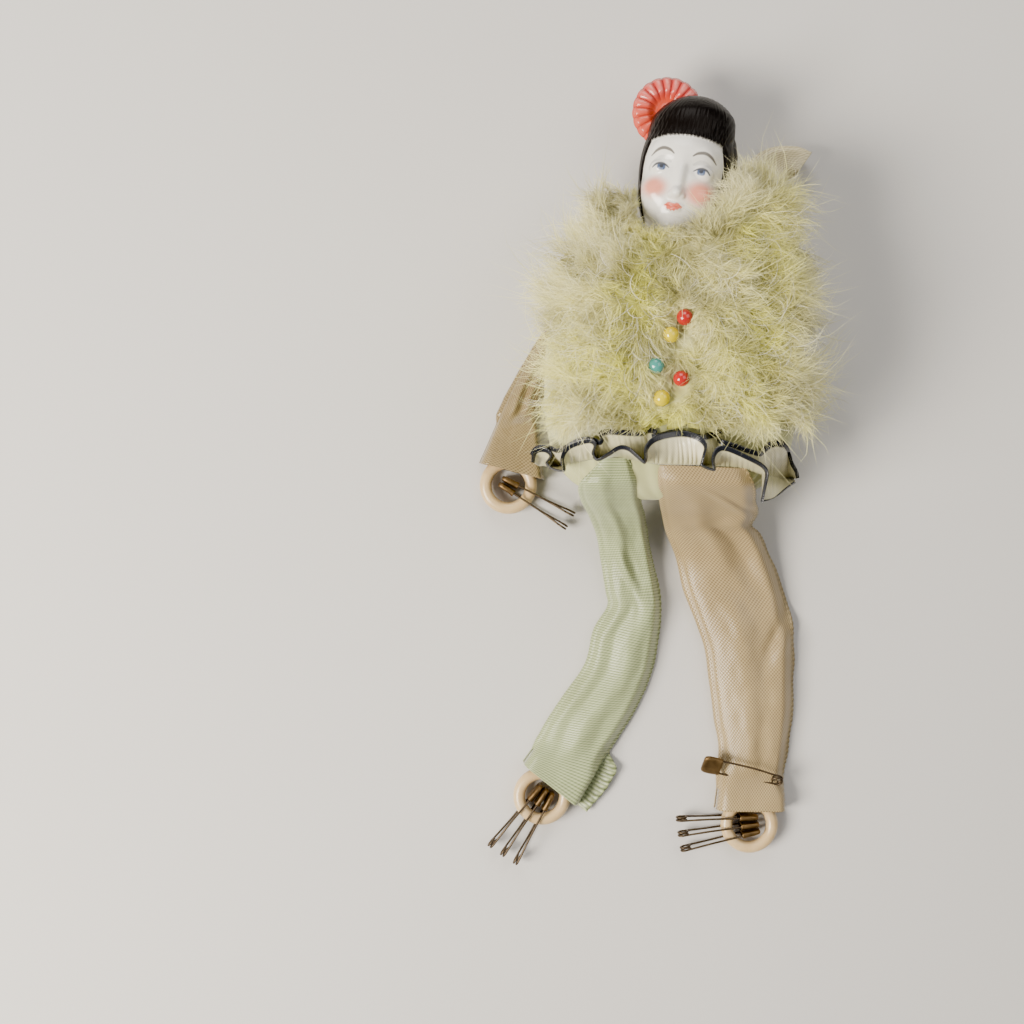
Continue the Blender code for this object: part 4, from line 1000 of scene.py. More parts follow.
LEG_LEFT = (
    (-16.2, 7.3, -8.8, 7.3, 42.6, 1.0), (-18.4, 4.4, -7.2, 4.4, 40.6, 2.4),
    (-22.2, -0.6, -5.0, -0.2, 36.8, 5.6), (-21.0, -5.4, -3.6, -5.4, 27.5, 7.2),
    (-17.6, -10.4, -1.6, -10.2, 17.0, 8), (-14.8, -16.4, 0.2, -16, 8.0, 8.4),
    (-13.2, -24.2, 2.2, -23, 2.4, 8.3), (-11.4, -35, 4.4, -33, 0.4, 7.8),
    (-10.8, -40.5, 5.3, -42, 0.4, 8.4), (-15.5, -48.5, 4.4, -53, 0.4, 7.8),
    (-18.3, -59.5, 2.0, -63, 0.4, 7.4), (-25.8, -70.4, -1.9, -73, 0.4, 7.4),
    (-30.6, -77.8, -6.3, -80.3, 0.4, 7.6), (-34.2, -84, -11.6, -88, 0.4, 7.8),
    (-37.8, -88.6, -16.5, -96, 0.4, 7.9), (-40.4, -92.2, -22.4, -106.4, 0.4, 8.2))
LEG_RIGHT = (
    (1.4, 5.2, 27.4, 4.2, 42.2, 1.2), (1.2, 3.2, 28.8, 2.4, 40.6, 2.8),
    (2.2, -0.8, 31.0, -1.2, 37.0, 5.6), (3.8, -5.6, 32.6, -5.6, 27.5, 7.2),
    (5.6, -10.2, 34.2, -9.8, 17.6, 8), (6.8, -13.4, 33.4, -13.4, 12.2, 8.2),
    (8.2, -16.8, 36.8, -16.2, 8.0, 8.4), (11.6, -24.4, 41.8, -24, 2.4, 8.4),
    (14.4, -34.9, 45.8, -34, 0.4, 8), (19.0, -46.8, 48.6, -46, 0.4, 7.9),
    (21.7, -55.8, 49.5, -56, 0.4, 7.5), (23.1, -67, 49.6, -67, 0.4, 7.4),
    (24.5, -78, 49.0, -78, 0.4, 7.6), (26.0, -88, 47.3, -88.4, 0.4, 7.7),
    (24.4, -98.4, 46.0, -99, 0.4, 7.9), (23.2, -107.4, 46.2, -107.6, 0.4, 8.2))
ARM_LEFT = (
    (-30.6, 61, -25.5, 60, 15, 2.5), (-31.2, 57.4, -25.5, 56, 8.5, 4),
    (-31.4, 53, -24.6, 50.4, 2.6, 5), (-36.7, 44.2, -29.6, 42.5, 0.5, 5.8),
    (-43.4, 32.3, -33, 32.3, 0.4, 6.6), (-48, 22.6, -35.3, 22.5, 0.4, 7.2),
    (-51.8, 14, -34.9, 14, 0.4, 7.8), (-54.9, 7.0, -33.6, 1.4, 0.4, 8.2))
ARM_RIGHT = (
    (36.7, 62, 47, 60, 8.5, 5.5), (35, 73, 50, 72, 3.2, 6.5), (32.2, 86, 49.6, 85, 0.6, 7.5),
    (31.6, 96.5, 47.6, 93.5, 0.5, 7.5), (33.6, 105.5, 46.2, 98.5, 0.5, 8),
    (40, 110.4, 46.6, 100.4, 0.5, 8.5), (48.5, 111, 47.6, 100.8, 0.5, 9.5),
    (54.2, 108.8, 48.6, 101.0, 0.5, 10.5))
# Folds on top of each ribbon: place across it where the fold starts and ends, that start and end along it,
# its width, and its height as a share of the thickness
LEG_LEFT_FOLDS = (
    (0.30, 0.34, 0.0, 0.42, 0.11, 0.16), (0.74, 0.70, 0.02, 0.36, 0.15, -0.13),
    (0.22, 0.55, 0.33, 0.50, 0.09, 0.16), (0.68, 0.42, 0.44, 0.95, 0.14, 0.16),
    (0.28, 0.22, 0.5, 0.9, 0.10, -0.10))
LEG_RIGHT_FOLDS = (
    (0.40, 0.95, 0.06, 0.24, 0.06, 0.20), (0.26, 0.44, 0.06, 0.44, 0.12, 0.17),
    (0.60, 0.72, 0.2, 0.5, 0.11, -0.11), (0.98, 0.60, 0.47, 0.66, 0.08, -0.19),
    (0.36, 0.42, 0.45, 0.93, 0.15, 0.14), (0.72, 0.70, 0.60, 0.93, 0.12, 0.10))
ARM_FOLDS = ((0.45, 0.25, 0.0, 0.75, 0.10, 0.18), (0.75, 0.60, 0.1, 0.72, 0.09, 0.14))
CLOTH = 0.35
FOLD_ROUND, FOLD_LOW, FOLD_RISE = 0.24, 0.44, 0.40  # share across that the fold rounds over, and its heights
OPEN_FROM, OPEN_DROP = 0.78, 0.70  # where the upper layer starts to come down to the open edge, and how far
HEM_RUN = 0.07  # share along over which the folds turn into the hem
BEND_COLUMNS = 9  # columns round the fold
FLAP_RUN, FLAP_LIFT = (0.885, 0.925), 2.2  # share along over which a loose corner juts out, and its rise
SELVAGE = 1.3  # width of a ribbon's woven edge
SELVAGE_WIDE = 25  # ribbon width from which the loops' share across is reckoned
PICOT = 1.7  # spacing of the loops along it
BODY_TONE = 0.88  # how dark a ribbon's body is beside those loops


def stationed(stations, rows):
    """Smooth edges and heights along a ribbon: left and right points, underside, thickness and run."""
    line = spline(stations, rows)
    left, right, low, thick = line[:, :2], line[:, 2:4], line[:, 4], line[:, 5]
    middle = np.column_stack([(left + right) / 2, low + thick / 2])
    run = run_along(middle)
    return left, right, np.maximum(low, CLOTH), thick, run


def cloth(name, points, uv, colour, rows, columns, thickness=CLOTH):
    """A woven sheet from a grid of points, given its thickness."""
    piece = mesh_object(name, points, grid_faces(rows, columns), uv=uv, colour=colour)
    solid = piece.modifiers.new("thickness", "SOLIDIFY")
    solid.thickness, solid.offset = thickness * MM, 0.0
    return piece


def fold_profile(across, row, seed, folds, hem):
    """Height share of the upper layer, from the fold at 0 to the open edge at 1, boxy at the hem."""
    body = FOLD_LOW + FOLD_RISE * quarter_round(across / FOLD_ROUND)
    body = body - OPEN_DROP * smooth(OPEN_FROM, 1.0, across) ** 1.5
    for first, last, start, end, wide, tall in folds:
        middle = first + (last - first) * (row - start) / (end - start) + 0.02 * np.sin(row * 31 + seed)
        run = smooth(start - 0.03, start + 0.10, row) * smooth(end + 0.03, end - 0.10, row)
        away = (across - middle) / wide
        body = body + run * tall * (np.exp(-away**2) - 0.45 * np.exp(-((away - 2.0) / 1.2) ** 2))
    body = body + 0.05 * wobble(seed, across * 3 + row * 4, row * 9)
    body = body + 0.025 * wobble(seed + 1, across * 12, row * 34)
    boxy = (1 - np.clip(np.abs(2 * across - 1), 0, 1) ** 12) ** 0.5
    boxy = boxy * (0.98 + 0.02 * wobble(seed + 2, across * 9, row * 20))
    share = smooth(hem, min(hem + HEM_RUN, 1.0), row)
    return body * (1 - share) + boxy * share


def folded_ribbon(name, stations, seed, folds, hem=0.88, thread=(0.42, 0.44, 0.34), flap=0.0, rows=230):
    """A ribbon folded lengthwise: the lower layer to the fold, then the upper layer back."""
    left, right, low, thick, run = stationed(stations, rows)
    layer, bend = 52, BEND_COLUMNS
    columns = 2 * layer + bend
    wide = np.linalg.norm(right - left, axis=1)
    share = run / run[-1]
    across = np.concatenate([np.linspace(1, 0, layer), np.zeros(bend), np.linspace(0, 1, layer)])
    a = across[None].repeat(rows, 0)
    row = share[:, None].repeat(columns, 1)
    jut = flap * smooth(*FLAP_RUN, row) * (1 - 0.3 * smooth(0.95, 1.0, row))
    lift = fold_profile(a, row, seed, folds, hem) * thick[:, None]
    base = low[:, None].repeat(columns, 1)
    wave = 0.12 * wobble(seed + 5, a * 8, row * 14) + 0.12
    below = np.arange(columns)[None] < layer
    height = np.where(below, base + wave, np.maximum(base + lift, base + wave + CLOTH))
    turn = np.linspace(-math.pi / 2, math.pi / 2, bend + 2)[1:-1]
    start, end = height[:, layer - 1:layer], height[:, layer + bend:layer + bend + 1]
    height[:, layer:layer + bend] = (start + end) / 2 + (end - start) / 2 * np.sin(turn)[None]
    out = np.zeros((rows, columns))
    out[:, layer:layer + bend] = -(end - start) / 2 * np.cos(turn)[None]
    looped = 0.13 * np.sin(run[:, None] * 2 * math.pi / PICOT)
    edge = smooth(1 - 2 * SELVAGE / SELVAGE_WIDE, 1.0, a) * looped
    edge = edge + 0.5 * smooth(0.9, 1.0, a) * wobble(seed + 7, row * 30, a)
    x_y = left[:, None] + (right - left)[:, None] * (a + (out + edge) / wide[:, None])[..., None]
    x_y = x_y + (right - left)[:, None] * (below * jut * smooth(0.8, 1.0, a))[..., None]
    height = height + below * FLAP_LIFT * jut / max(flap, 1e-9) * smooth(0.85, 1.0, a) * (flap > 0)
    points = np.concatenate([x_y, height[..., None]], axis=2)
    steps = np.linalg.norm(np.diff(points, axis=1), axis=2).mean(0)
    uv = np.stack([np.concatenate([[0], np.cumsum(steps)])[None] + 0 * row, run[:, None] + 0 * row], axis=2)
    colour = np.full((rows, columns, 3), BODY_TONE)
    stitched = smooth(1 - SELVAGE / wide.mean(), 1 - 0.6 * SELVAGE / wide.mean(), a)[..., None]
    loops = smooth(-0.3, 0.3, np.sin(run[:, None] * 2 * math.pi / PICOT + a * 40))[..., None]
    colour = colour + (np.array(thread) + (1 - np.array(thread)) * loops - colour) * stitched
    return cloth(name, points, uv, colour, rows, columns)


def sleeve(name, stations, seed, rows=130, columns=120):
    """A ribbon sewn into a flat sleeve, open at its far end."""
    left, right, low, thick, run = stationed(stations, rows)
    turn = np.linspace(-math.pi / 2, 1.5 * math.pi, columns)[None]
    c, s = np.cos(turn), np.sin(turn)
    a = 0.5 - 0.5 * squared_off(c, 0.6)
    share = (run / run[-1])[:, None]
    upper = np.maximum(s, 0)
    ripple = upper * (0.10 * wobble(seed, a * 5 + 0 * share, share * 7 + 0 * a)
        - 0.13 * np.sin(a * 9 + share * 5) * smooth(0.9, 0.6, share))
    round_up = 0.5 + 0.5 * squared_off(s, 0.75)
    height = low[:, None] + thick[:, None] * (round_up + ripple)
    x_y = left[:, None] + (right - left)[:, None] * a[..., None]
    path = np.concatenate([x_y, np.maximum(height, CLOTH)[..., None]], axis=2)
    around = np.concatenate([[0], np.cumsum(np.linalg.norm(np.diff(path, axis=1), axis=2).mean(0))])
    uv = np.stack([around[None] + 0 * share, run[:, None] + 0 * a], axis=2)
    hem = smooth(1.6, 0.9, run[-1] - run)[:, None, None]
    colour = 1 - 0.22 * hem * (0.5 + 0.5 * np.sin(around * 2 * math.pi / PICOT))[None, :, None] * np.ones(3)
    return cloth(name, path, uv, colour, rows, columns)


def make_ribbons():
    green = woven("green_grosgrain", (0.22, 0.275, 0.135), (0.61, 0.685, 0.40), ((0.0, 1.15), (0.9, 0.55)),
        0.36, 0.12)
    beige = woven("beige_taffeta", (0.21, 0.145, 0.065), (0.67, 0.52, 0.29), ((0.92, 0.82), (0.92, -0.82)),
        0.32, 0.12, 0.5)
    cream = woven("cream_satin", (0.50, 0.42, 0.22), (0.92, 0.84, 0.58), ((1.15, 0.15), (0.5, 0.9)),
        0.3, 0.06, 0.3)
    tan = woven("tan_satin", (0.14, 0.10, 0.045), (0.49, 0.38, 0.205), ((1.2, 1.0), (1.2, -1.0)),
        0.28, 0.06, 0.5)
    left = folded_ribbon("leg_left_ribbon", LEG_LEFT, 11, LEG_LEFT_FOLDS, hem=0.88, flap=0.26)
    right = folded_ribbon("leg_right_ribbon", LEG_RIGHT, 23, LEG_RIGHT_FOLDS, hem=0.90)
    arm = folded_ribbon("arm_left_ribbon", ARM_LEFT, 31, ARM_FOLDS, hem=0.70, rows=130)
    tucked = sleeve("arm_right_ribbon", ARM_RIGHT, 37)
    for piece, finish, slot, node, start, end, flat in (
            (left, green, "grosgrain", "leg_left", (-10, -5, 25), (-8, -18, 5), (0.043, 0.145)),
            (right, beige, "taffeta", "leg_right", (19, -5, 25), (23, -18, 5), (0.058, 0.142)),
            (arm, tan, "taffeta", "arm_left", (-27, 51, 3), (-35, 40, 3), (0.030, 0.07)),
            (tucked, cream, "cream_satin", "arm_right", (41, 62, 10), (42, 76, 4), (0.035, 0.06))):
        dress(piece, finish, None, slot, node)
        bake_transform(piece)


# Rings and pins

RING_RADIUS, RING_TUBE = 7.5, 2.08
PIN_HALF, PIN_WIRE, PIN_COIL, COIL_X = 3.05, 0.34, 1.6, 14.5
CAP_FROM, CAP_TO = -10.5, -4.5
CAP_TALL, CAP_THICK, CAP_SHEET = 3.75, 1.0, 0.28  # half-height, half-thickness, and its sheet
COIL_TURN, COIL_LAYER = 300, 0.5  # degrees of coil on each side, and how far each lies from the middle


def make_ring(name, ivory_finish, seed):
    """A turned ring, a little uneven."""
    columns, sides = 120, 28
    turn, around = circle(columns)[:, None], circle(sides)[None]
    uneven = 0.012 * (wobble(seed, 3 * np.cos(turn), 3 * np.sin(turn)) - 1)
    fat = RING_TUBE * (1 + uneven - 0.02 * (1 + np.cos(2 * around)))
    out = RING_RADIUS + fat * np.cos(around)
    points = np.stack([out * np.cos(turn), out * np.sin(turn), fat * np.sin(around) + 0 * turn], 2)
    ring = mesh_object(name + "_turned", points.reshape(-1, 3) + middle_of(*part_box(name)),
        grid_faces(columns, sides, round_rows=True, round_columns=True))
    dress(ring, ivory_finish, name, "ivory", name)


def pin_frame(spot, along, across):
    """Rows that take a pin's own points, X to its coil and Z to its arm, into the row frame."""
    along, across = np.array(along, float), np.array(across, float)
    along, across = along / np.linalg.norm(along), across / np.linalg.norm(across)
    return np.array(spot, float), np.array([along, across, np.cross(along, across)])


def pin_side(sign):
    """One side of a pin and its part of the coil."""
    layer = sign * COIL_LAYER
    straight = [
        (CAP_FROM + 0.7, 0, sign * PIN_HALF), (-2, 0, sign * PIN_HALF), (5.5, 0, sign * (PIN_HALF - 0.1)),
        (9.5, 0.4 * layer, sign * 2.35), (12.5, 0.8 * layer, sign * 1.75)]
    turn = sign * np.radians(90 - np.linspace(0, COIL_TURN, 26))
    coil = np.column_stack([
        COIL_X + PIN_COIL * np.cos(turn), np.full(len(turn), layer), PIN_COIL * np.sin(turn)])
    return np.vstack([spline(np.vstack([straight, coil[:1]]), 40)[:-1], coil])


def cap_shell():
    """A pressed cap: a round-shouldered shell, open towards the coil, with a folded lip."""
    rows, sides = 26, 32
    share = np.linspace(0, 1, rows)
    x = CAP_FROM + (CAP_TO - CAP_FROM) * share
    shoulder = quarter_round(share / 0.35)
    tall = CAP_TALL * (0.72 + 0.28 * shoulder) * (1 - 0.06 * smooth(0.5, 1.0, share))
    thick = CAP_THICK * (0.55 + 0.45 * shoulder) * (1 + 0.10 * smooth(0.82, 0.9, share))
    around = circle(sides)
    flat_c, flat_s = squared_off(np.cos(around), 0.6), squared_off(np.sin(around), 0.5)
    outer = list(zip(x, tall, thick))
    inner = [(a, high - CAP_SHEET, wide - CAP_SHEET) for a, high, wide in outer[:2:-1]]
    rings = [np.column_stack([np.full(sides, a), wide * flat_c, high * flat_s])
             for a, high, wide in outer + inner]
    return np.vstack(rings), closed_faces(len(rings), sides)


def make_safety_pin(name, spot, rows, metals, body, arm_body):
    brass, wire = metals
    fixed, arm, cap = tube(pin_side(-1), PIN_WIRE), tube(pin_side(1), PIN_WIRE), cap_shell()
    for part, (points, faces), finish, slot, rides in (
            ("wire", fixed, wire, "pin_wire", body), ("arm", arm, wire, "pin_wire", arm_body),
            ("cap", cap, brass, "pin_brass", body)):
        piece = mesh_object(f"{name}_{part}_bent", spot + points @ rows, faces)
        dress(piece, finish, rides, slot, f"{name}_{part}")


RING_PINS = {"ring_leg_right": 3, "ring_leg_left": 3, "ring_arm_left": 2}
LEG_PIN = (28.575, -93.88, 8.2)
LEG_PIN_HEADING, LEG_PIN_ROLL = math.radians(-12.6), math.radians(130)


def make_rings_and_pins():
    turned = ivory()
    metals = (metal("aged_brass", (0.055, 0.034, 0.016), (0.26, 0.16, 0.065)),
              metal("dark_wire", (0.03, 0.022, 0.016), (0.16, 0.115, 0.07)))
    for seed, (ring, count) in enumerate(RING_PINS.items()):
        make_ring(ring, turned, seed)
        for number in range(1, count + 1):
            pin = f"{ring}_pin_{number}"
            spot = np.array(JOINTS[pin + "_swing"]["pos_m"]) / MM
            coil = np.array(JOINTS[pin + "_open"]["pos_m"]) / MM
            spot, rows = pin_frame(spot, coil - spot, np.cross((0, 0, 1), coil - spot))
            make_safety_pin(pin, spot, rows, metals, pin, pin + "_arm")
    turn = np.array(Matrix.Rotation(LEG_PIN_HEADING, 3, "Z") @ Matrix.Rotation(LEG_PIN_ROLL, 3, "X"))
    make_safety_pin("leg_pin", np.array(LEG_PIN), turn.T, metals, "leg_right", "leg_right")


# Cushion, ruffle and glass pins

GATHER_COUNT, GATHER_DEEP, PUFF_DEEP = 34, 0.022, 0.010  # depths are shares of its half-sizes
CUSHION_FOOT = -0.985  # where its cover starts, as a share of its half-length


def make_cushion():
    """A stuffed silk bag, drawn up in fine gathers towards both ends."""
    rings, columns = 150, 360
    first, last = math.acos(CUSHION_FOOT), math.acos(CUSHION_NECK)
    along = np.cos(first + (last - first) * np.linspace(0, 1, rings))[:, None]
    turn = circle(columns)[None]
    wide, deep = cushion_halves(along)
    c, s = np.cos(turn), np.sin(turn)
    ends = smooth(0.45, 1.0, np.abs(along))
    pleat = np.sin(turn * GATHER_COUNT + 2.2 * wobble(3, 4 * c + 0 * along, 4 * s + 0 * along))
    puff = 0.55 * wobble(4, 6 * c + 0 * along, 6 * s + 0 * along, 5 * along + 0 * turn)
    draw = 1 + (GATHER_DEEP * ends * pleat + PUFF_DEEP * puff)
    power = 2 / CUSHION_SQUARE
    x = CUSHION_MIDDLE[0] + wide * draw * squared_off(c, power)
    z = CUSHION_MIDDLE[2] + deep * draw * squared_off(s, power)
    y = CUSHION_MIDDLE[1] + along * CUSHION_HALF[1] + 0 * turn
    points = np.stack([x, y, np.maximum(z, 0.2 + 0.15 * pleat * ends)], 2).reshape(-1, 3)
    bag = mesh_object("cushion", points, closed_faces(rings, columns))
    dress(bag, silk(), "doll", "silk", "cushion_cover", "cushion_filling")


# The ruffle: its stitched line, and both its edges as they loop over the front
RUFFLE_ROOT = (
    (-36, 5.5, 24), (-31, 5.2, 27.5), (-26, 6, 34.6), (-19, 7, 39.8), (-12, 7.4, 42.2), (-5, 6.2, 42.9),
    (2, 5.2, 43.1), (12, 5, 43), (20, 4.6, 42.4), (28, 3.4, 39.8), (34, 2.2, 35.4), (40, 1.5, 28.5),
    (45, 1.5, 24))
RUFFLE_FRONT = (
    (-37.5, 6.1), (-36.9, 9.5), (-34.4, 10.1), (-32.6, 8.6), (-34.1, 6.1), (-32.6, 4), (-29.8, 2.9),
    (-28, 3.3), (-28.7, 7), (-27.1, 10.3), (-23.4, 11.9), (-20.9, 12.3), (-19.7, 11.3), (-20.5, 8.7),
    (-19.7, 6.5), (-18, 6.1), (-15.2, 7.8), (-12.2, 9.8), (-9.7, 9.4), (-7.3, 7.2), (-4.9, 5.1), (-4, 6.7),
    (-3.9, 9.9), (-1.7, 12.6), (2.6, 14.2), (7.4, 14.7), (11.2, 13.4), (13.1, 11.2), (12.7, 8.3),
    (11.2, 5.6), (12.6, 4), (15.4, 2.9), (16.5, 3.3), (16, 6.6), (17.2, 9.3), (19.8, 9.8), (25.8, 7.2),
    (31.2, 4.4), (32.4, 1.7), (31.1, -2), (29, -5.4), (31.7, -6.7), (36.2, -5.7), (40.6, -2.5),
    (43.8, -0.3))
RUFFLE_BACK = (
    (-38, 8.5), (-36.6, 10.5), (-33.2, 10.9), (-30.4, 9.5), (-27.4, 10.7), (-24, 12.5), (-20.6, 12.8),
    (-18, 11.5), (-16.7, 12.9), (-17.3, 14.4), (-15.4, 15.1), (-9.8, 14.8), (-5.4, 14.8), (-2.8, 16),
    (-1, 15.3), (-2.5, 13.6), (0.6, 14), (6.2, 15.3), (10.5, 13.6), (13.8, 13.7), (17.3, 14.8),
    (19.2, 16.2), (17.8, 14.4), (18.2, 12.3), (22.9, 10.7), (27.2, 9.2), (30.9, 8.5), (32.9, 9.9),
    (35.8, 12), (39.4, 12), (41.5, 9.6), (42.3, 6.1), (43.7, 3.3), (44.2, 1.2))
RUFFLE_EDGE = 1.25  # width of its dark woven edges
RUFFLE_ROLL = 0.75  # how far they roll outwards
RUFFLE_SPREAD = 7.0  # how far along an edge its share of the gathers is evened out
RUFFLE_LEAST = 1.4  # how far an edge stands off the stitched line at least
RUFFLE_HALF = 10.5  # from the stitches to an edge, laid flat
BACK_WIDE, BACK_CLEAR = 10.0, 0.8  # how high each half can stand, and how far its edge clears the cushion
FRONT_WIDE, FRONT_CLEAR = 11.0, 2.0
EDGE_STEPS = 1500
PLEAT = 1.7  # spacing of the fine pleats at the stitches
# Pale satin, the darker olive painted as its shade, and the navy of its woven edges
SATIN_PALE, SATIN_SHADE, EDGE_NAVY = np.array(
    ((0.92, 0.87, 0.66), (0.52, 0.51, 0.28), (0.012, 0.014, 0.022)))


def ruffle_edge(edge, along):
    """One edge of the ruffle in the plan, with its loops shared out over places along the stitched line."""
    fine = spline(np.array(edge, float), EDGE_STEPS)
    length = np.linalg.norm(np.diff(fine, axis=0), axis=1).sum()
    reach_out = int(EDGE_STEPS * RUFFLE_SPREAD / length)
    padded = np.pad(fine[:, 0], reach_out, mode="reflect", reflect_type="odd")
    window = np.hanning(2 * reach_out + 1)
    even = np.maximum.accumulate(np.convolve(padded, window / window.sum(), mode="valid"))
    even = (even - even[0]) / (even[-1] - even[0])
    steps = np.arange(EDGE_STEPS)
    rising = even + np.linspace(0, 1e-6, EDGE_STEPS)
    at = np.interp((along - along[0]) / (along[-1] - along[0]), rising, steps)
    return np.column_stack([np.interp(at, steps, fine[:, axis]) for axis in (0, 1)])


def ruffle_half(root, edge, wide, clear, reach_out):
    """One half of the ruffle, from its stitches to its edge: back where full, standing elsewhere."""
    off = np.linalg.norm(edge - root[:, :2], axis=1)
    top = root[:, 2] + np.sqrt(np.maximum(wide**2 - off**2, RUFFLE_LEAST**2))
    top = np.maximum(top, cushion_front(*edge.T) + clear)
    t = reach_out[None]
    plan = root[:, None, :2] + (edge - root[:, :2])[:, None] * t[..., None]
    uneven = wobble(16, root[:, :1] * 0.5 + 0 * t, 0.8 * t + 0 * root[:, :1])
    pleat = (0.5 + 0.35 * uneven) * np.sin(root[:, :1] * 2 * math.pi / PLEAT + 4 * uneven)
    pleat = pleat * (1 - t) ** 1.5 * np.minimum(6 * t, 1)
    puff = (0.22 * np.minimum(off, wide))[:, None] * np.sin(math.pi * t)
    height = root[:, 2:] + (top - root[:, 2])[:, None] * t + pleat + puff
    height = np.maximum(height, cushion_front(plan[..., 0], plan[..., 1]) + clear * t + 0.4)
    tangent = unit(np.gradient(edge, axis=0))
    outward = np.column_stack([-tangent[:, 1], tangent[:, 0]])
    rolled = RUFFLE_ROLL * smooth(1 - 1.2 * RUFFLE_EDGE / wide, 1.0, t)
    plan = plan + outward[:, None] * rolled[..., None]
    return np.concatenate([plan, height[..., None]], axis=2)


def make_ruffle():
    """A satin ribbon gathered along a line of stitches, both halves turned up, with dark looped edges."""
    columns, half = 956, 26
    root = spline(np.array(RUFFLE_ROOT, float), columns)
    reach_out = np.linspace(0, 1, half)
    back = ruffle_half(root, ruffle_edge(RUFFLE_BACK, root[:, 0]), BACK_WIDE, BACK_CLEAR, reach_out)
    front = ruffle_half(root, ruffle_edge(RUFFLE_FRONT, root[:, 0]), FRONT_WIDE, FRONT_CLEAR, reach_out)
    points = np.concatenate([back[:, :0:-1], front], axis=1)
    rows = 2 * half - 1
    t = np.linspace(-1, 1, rows)[None]
    run = run_along(points[:, -1])[:, None]
    from_edge = RUFFLE_HALF * (1 - np.abs(t)) + 0 * run
    uv = np.stack([from_edge, run + 0 * t], 2)
    # painted shade: the satin darkens towards the olive in drifting patches, and most near the stitched line
    satin_shade = 0.45 + 0.5 * wobble(18, run * 0.12 + 0 * t, t * 1.5 + 0 * run)
    satin_shade = satin_shade + 0.35 * smooth(0.5, 0.0, np.abs(t))
    colour = SATIN_PALE + (SATIN_SHADE - SATIN_PALE) * np.clip(satin_shade, 0, 1)[..., None]
    dark = smooth(RUFFLE_EDGE + 0.25, RUFFLE_EDGE, from_edge)[..., None]
    colour = colour + (EDGE_NAVY - colour) * dark
    piece = cloth("ruffle_ribbon", points, uv, colour, columns, rows, 0.3)
    finish = woven("ruffle_satin", (0.80, 0.80, 0.78), (1.0, 1.0, 1.0), ((1.1, 1.1), (1.1, -1.1)),
        0.22, 0.05, 0.5)
    dress(piece, finish, "doll", "satin", "ruffle")


GLASS = {
    "pin_red_upper": ("glass_red", (0.34, 0.01, 0.01), (0.52, 0.025, 0.02)),
    "pin_yellow_upper": ("glass_yellow", (0.58, 0.45, 0.0), (0.74, 0.60, 0.0)),
    "pin_teal": ("glass_teal", (0.04, 0.22, 0.19), (0.08, 0.34, 0.30)),
    "pin_red_lower": ("glass_red", (0.36, 0.01, 0.01), (0.55, 0.025, 0.02)),
    "pin_yellow_lower": ("glass_yellow", (0.60, 0.47, 0.0), (0.76, 0.62, 0.0)),
}
NEEDLE_ENDS = (-13, 13.4)  # from the shaft's middle, the point first
NEEDLE_TAPER = ((-13, -9, 13), (0.04, 0.33, 0.35))  # radius by place


def make_glass_pins():
    steel = metal("pin_steel", (0.22, 0.21, 0.19), (0.55, 0.54, 0.50))
    columns, rows = 40, 28
    for seed, (name, (slot, dark, bright)) in enumerate(GLASS.items()):
        out = unit(np.array(JOINTS[name + "_pull"]["axis"], float))
        low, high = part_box(name + "_head")
        middle, radius = middle_of(low, high), (high - low).x / 2 / MM
        share = np.linspace(0.01, math.pi - 0.01, rows)[:, None]
        turn = circle(columns)[None]
        ball = np.stack([np.sin(share) * np.cos(turn), np.sin(share) * np.sin(turn),
            np.cos(share) + 0 * turn], 2).reshape(-1, 3)
        ball *= radius * (1 + 0.02 * wobble(seed + 60, *(2 * ball).T))[:, None]
        head = mesh_object(name + "_bead", middle + ball, closed_faces(rows, columns, turned=True))
        dress(head, glass(name + "_bead", dark, bright), name, slot, name + "_head")
        stations = np.linspace(*NEEDLE_ENDS, 24)
        shaft = tube(middle_of(*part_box(name + "_shaft")) + stations[:, None] * out,
            np.interp(stations, *NEEDLE_TAPER), 14)
        dress(mesh_object(name + "_needle", *shaft), steel, name, "pin_steel", name + "_shaft")


# Stage

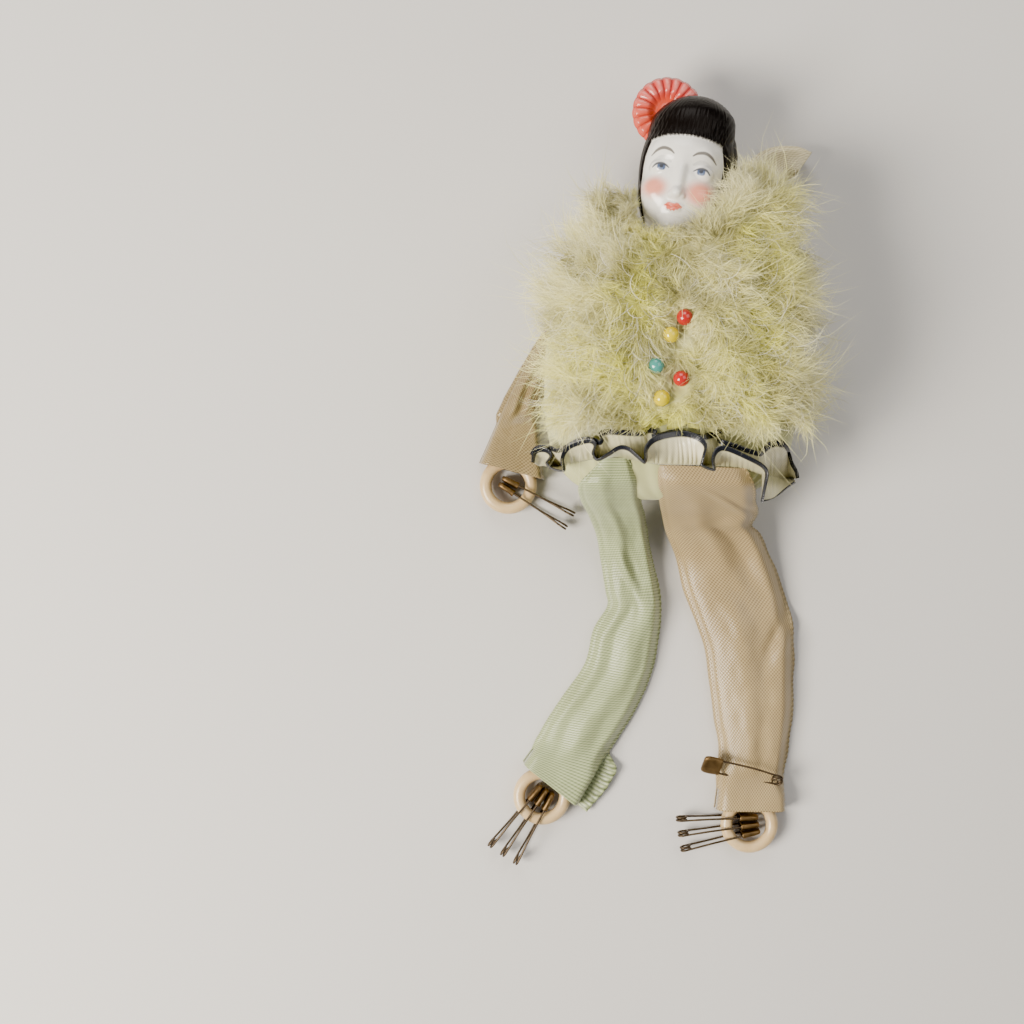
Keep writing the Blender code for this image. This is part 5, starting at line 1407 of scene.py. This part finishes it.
FLOOR_HALF, FLOOR_DROP = 3000.0, 0.05
# Name, place in metres, size, power and colour
LIGHTS = (
    ("key", (-0.62, -0.24, 0.60), 0.40, 31.0, (1.0, 0.93, 0.82)),
    ("fill", (0.60, 0.25, 0.8), 0.7, 6.5, (1.0, 0.95, 0.88)),
    ("top", (-0.1, 0.80, 0.6), 0.6, 8.0, (1.0, 0.97, 0.92)))
SKY, SKY_STRENGTH = (0.9, 0.92, 1.0, 1), 0.33


def make_stage():
    camera_data = bpy.data.cameras.new("camera")
    camera_data.sensor_width = SENSOR
    camera_data.lens = SENSOR * FOCAL_PIXELS / PICTURE_PIXELS
    camera = bpy.data.objects.new("camera", camera_data)
    camera.location = Vector(CAMERA_SPOT) * MM
    bpy.context.scene.collection.objects.link(camera)
    bpy.context.scene.camera = camera
    corners = [(x * FLOOR_HALF, y * FLOOR_HALF, -FLOOR_DROP) for x, y in ((-1, -1), (1, -1), (1, 1), (-1, 1))]
    floor = mesh_object("floor", corners, np.array([[0, 1, 2, 3]]), smooth_shaded=False)
    pale = Finish("pale_floor", 0.7)
    pale.put(Base_Color=pale.between(pale.noise(3.0), (0.60, 0.585, 0.56), (0.66, 0.645, 0.62)))
    floor.data.materials.append(pale.material)
    for name, spot, width, power, colour in LIGHTS:
        light = bpy.data.lights.new(name, "AREA")
        light.size, light.energy, light.color = width, power, colour
        lamp = bpy.data.objects.new(name, light)
        lamp.location = spot
        lamp.rotation_euler = (-Vector(spot)).to_track_quat("-Z", "Y").to_euler()
        bpy.context.scene.collection.objects.link(lamp)
    world = bpy.data.worlds.new("studio")
    world.use_nodes = True
    world.node_tree.nodes["Background"].inputs["Color"].default_value = SKY
    world.node_tree.nodes["Background"].inputs["Strength"].default_value = SKY_STRENGTH
    bpy.context.scene.world = world
    bpy.context.scene.view_settings.view_transform = "AgX"
    bpy.context.scene.view_settings.look = "AgX - Punchy"


make_stage()
make_head()
make_cushion()
make_ruffle()
make_feathers()
make_ribbons()
make_rings_and_pins()
make_glass_pins()
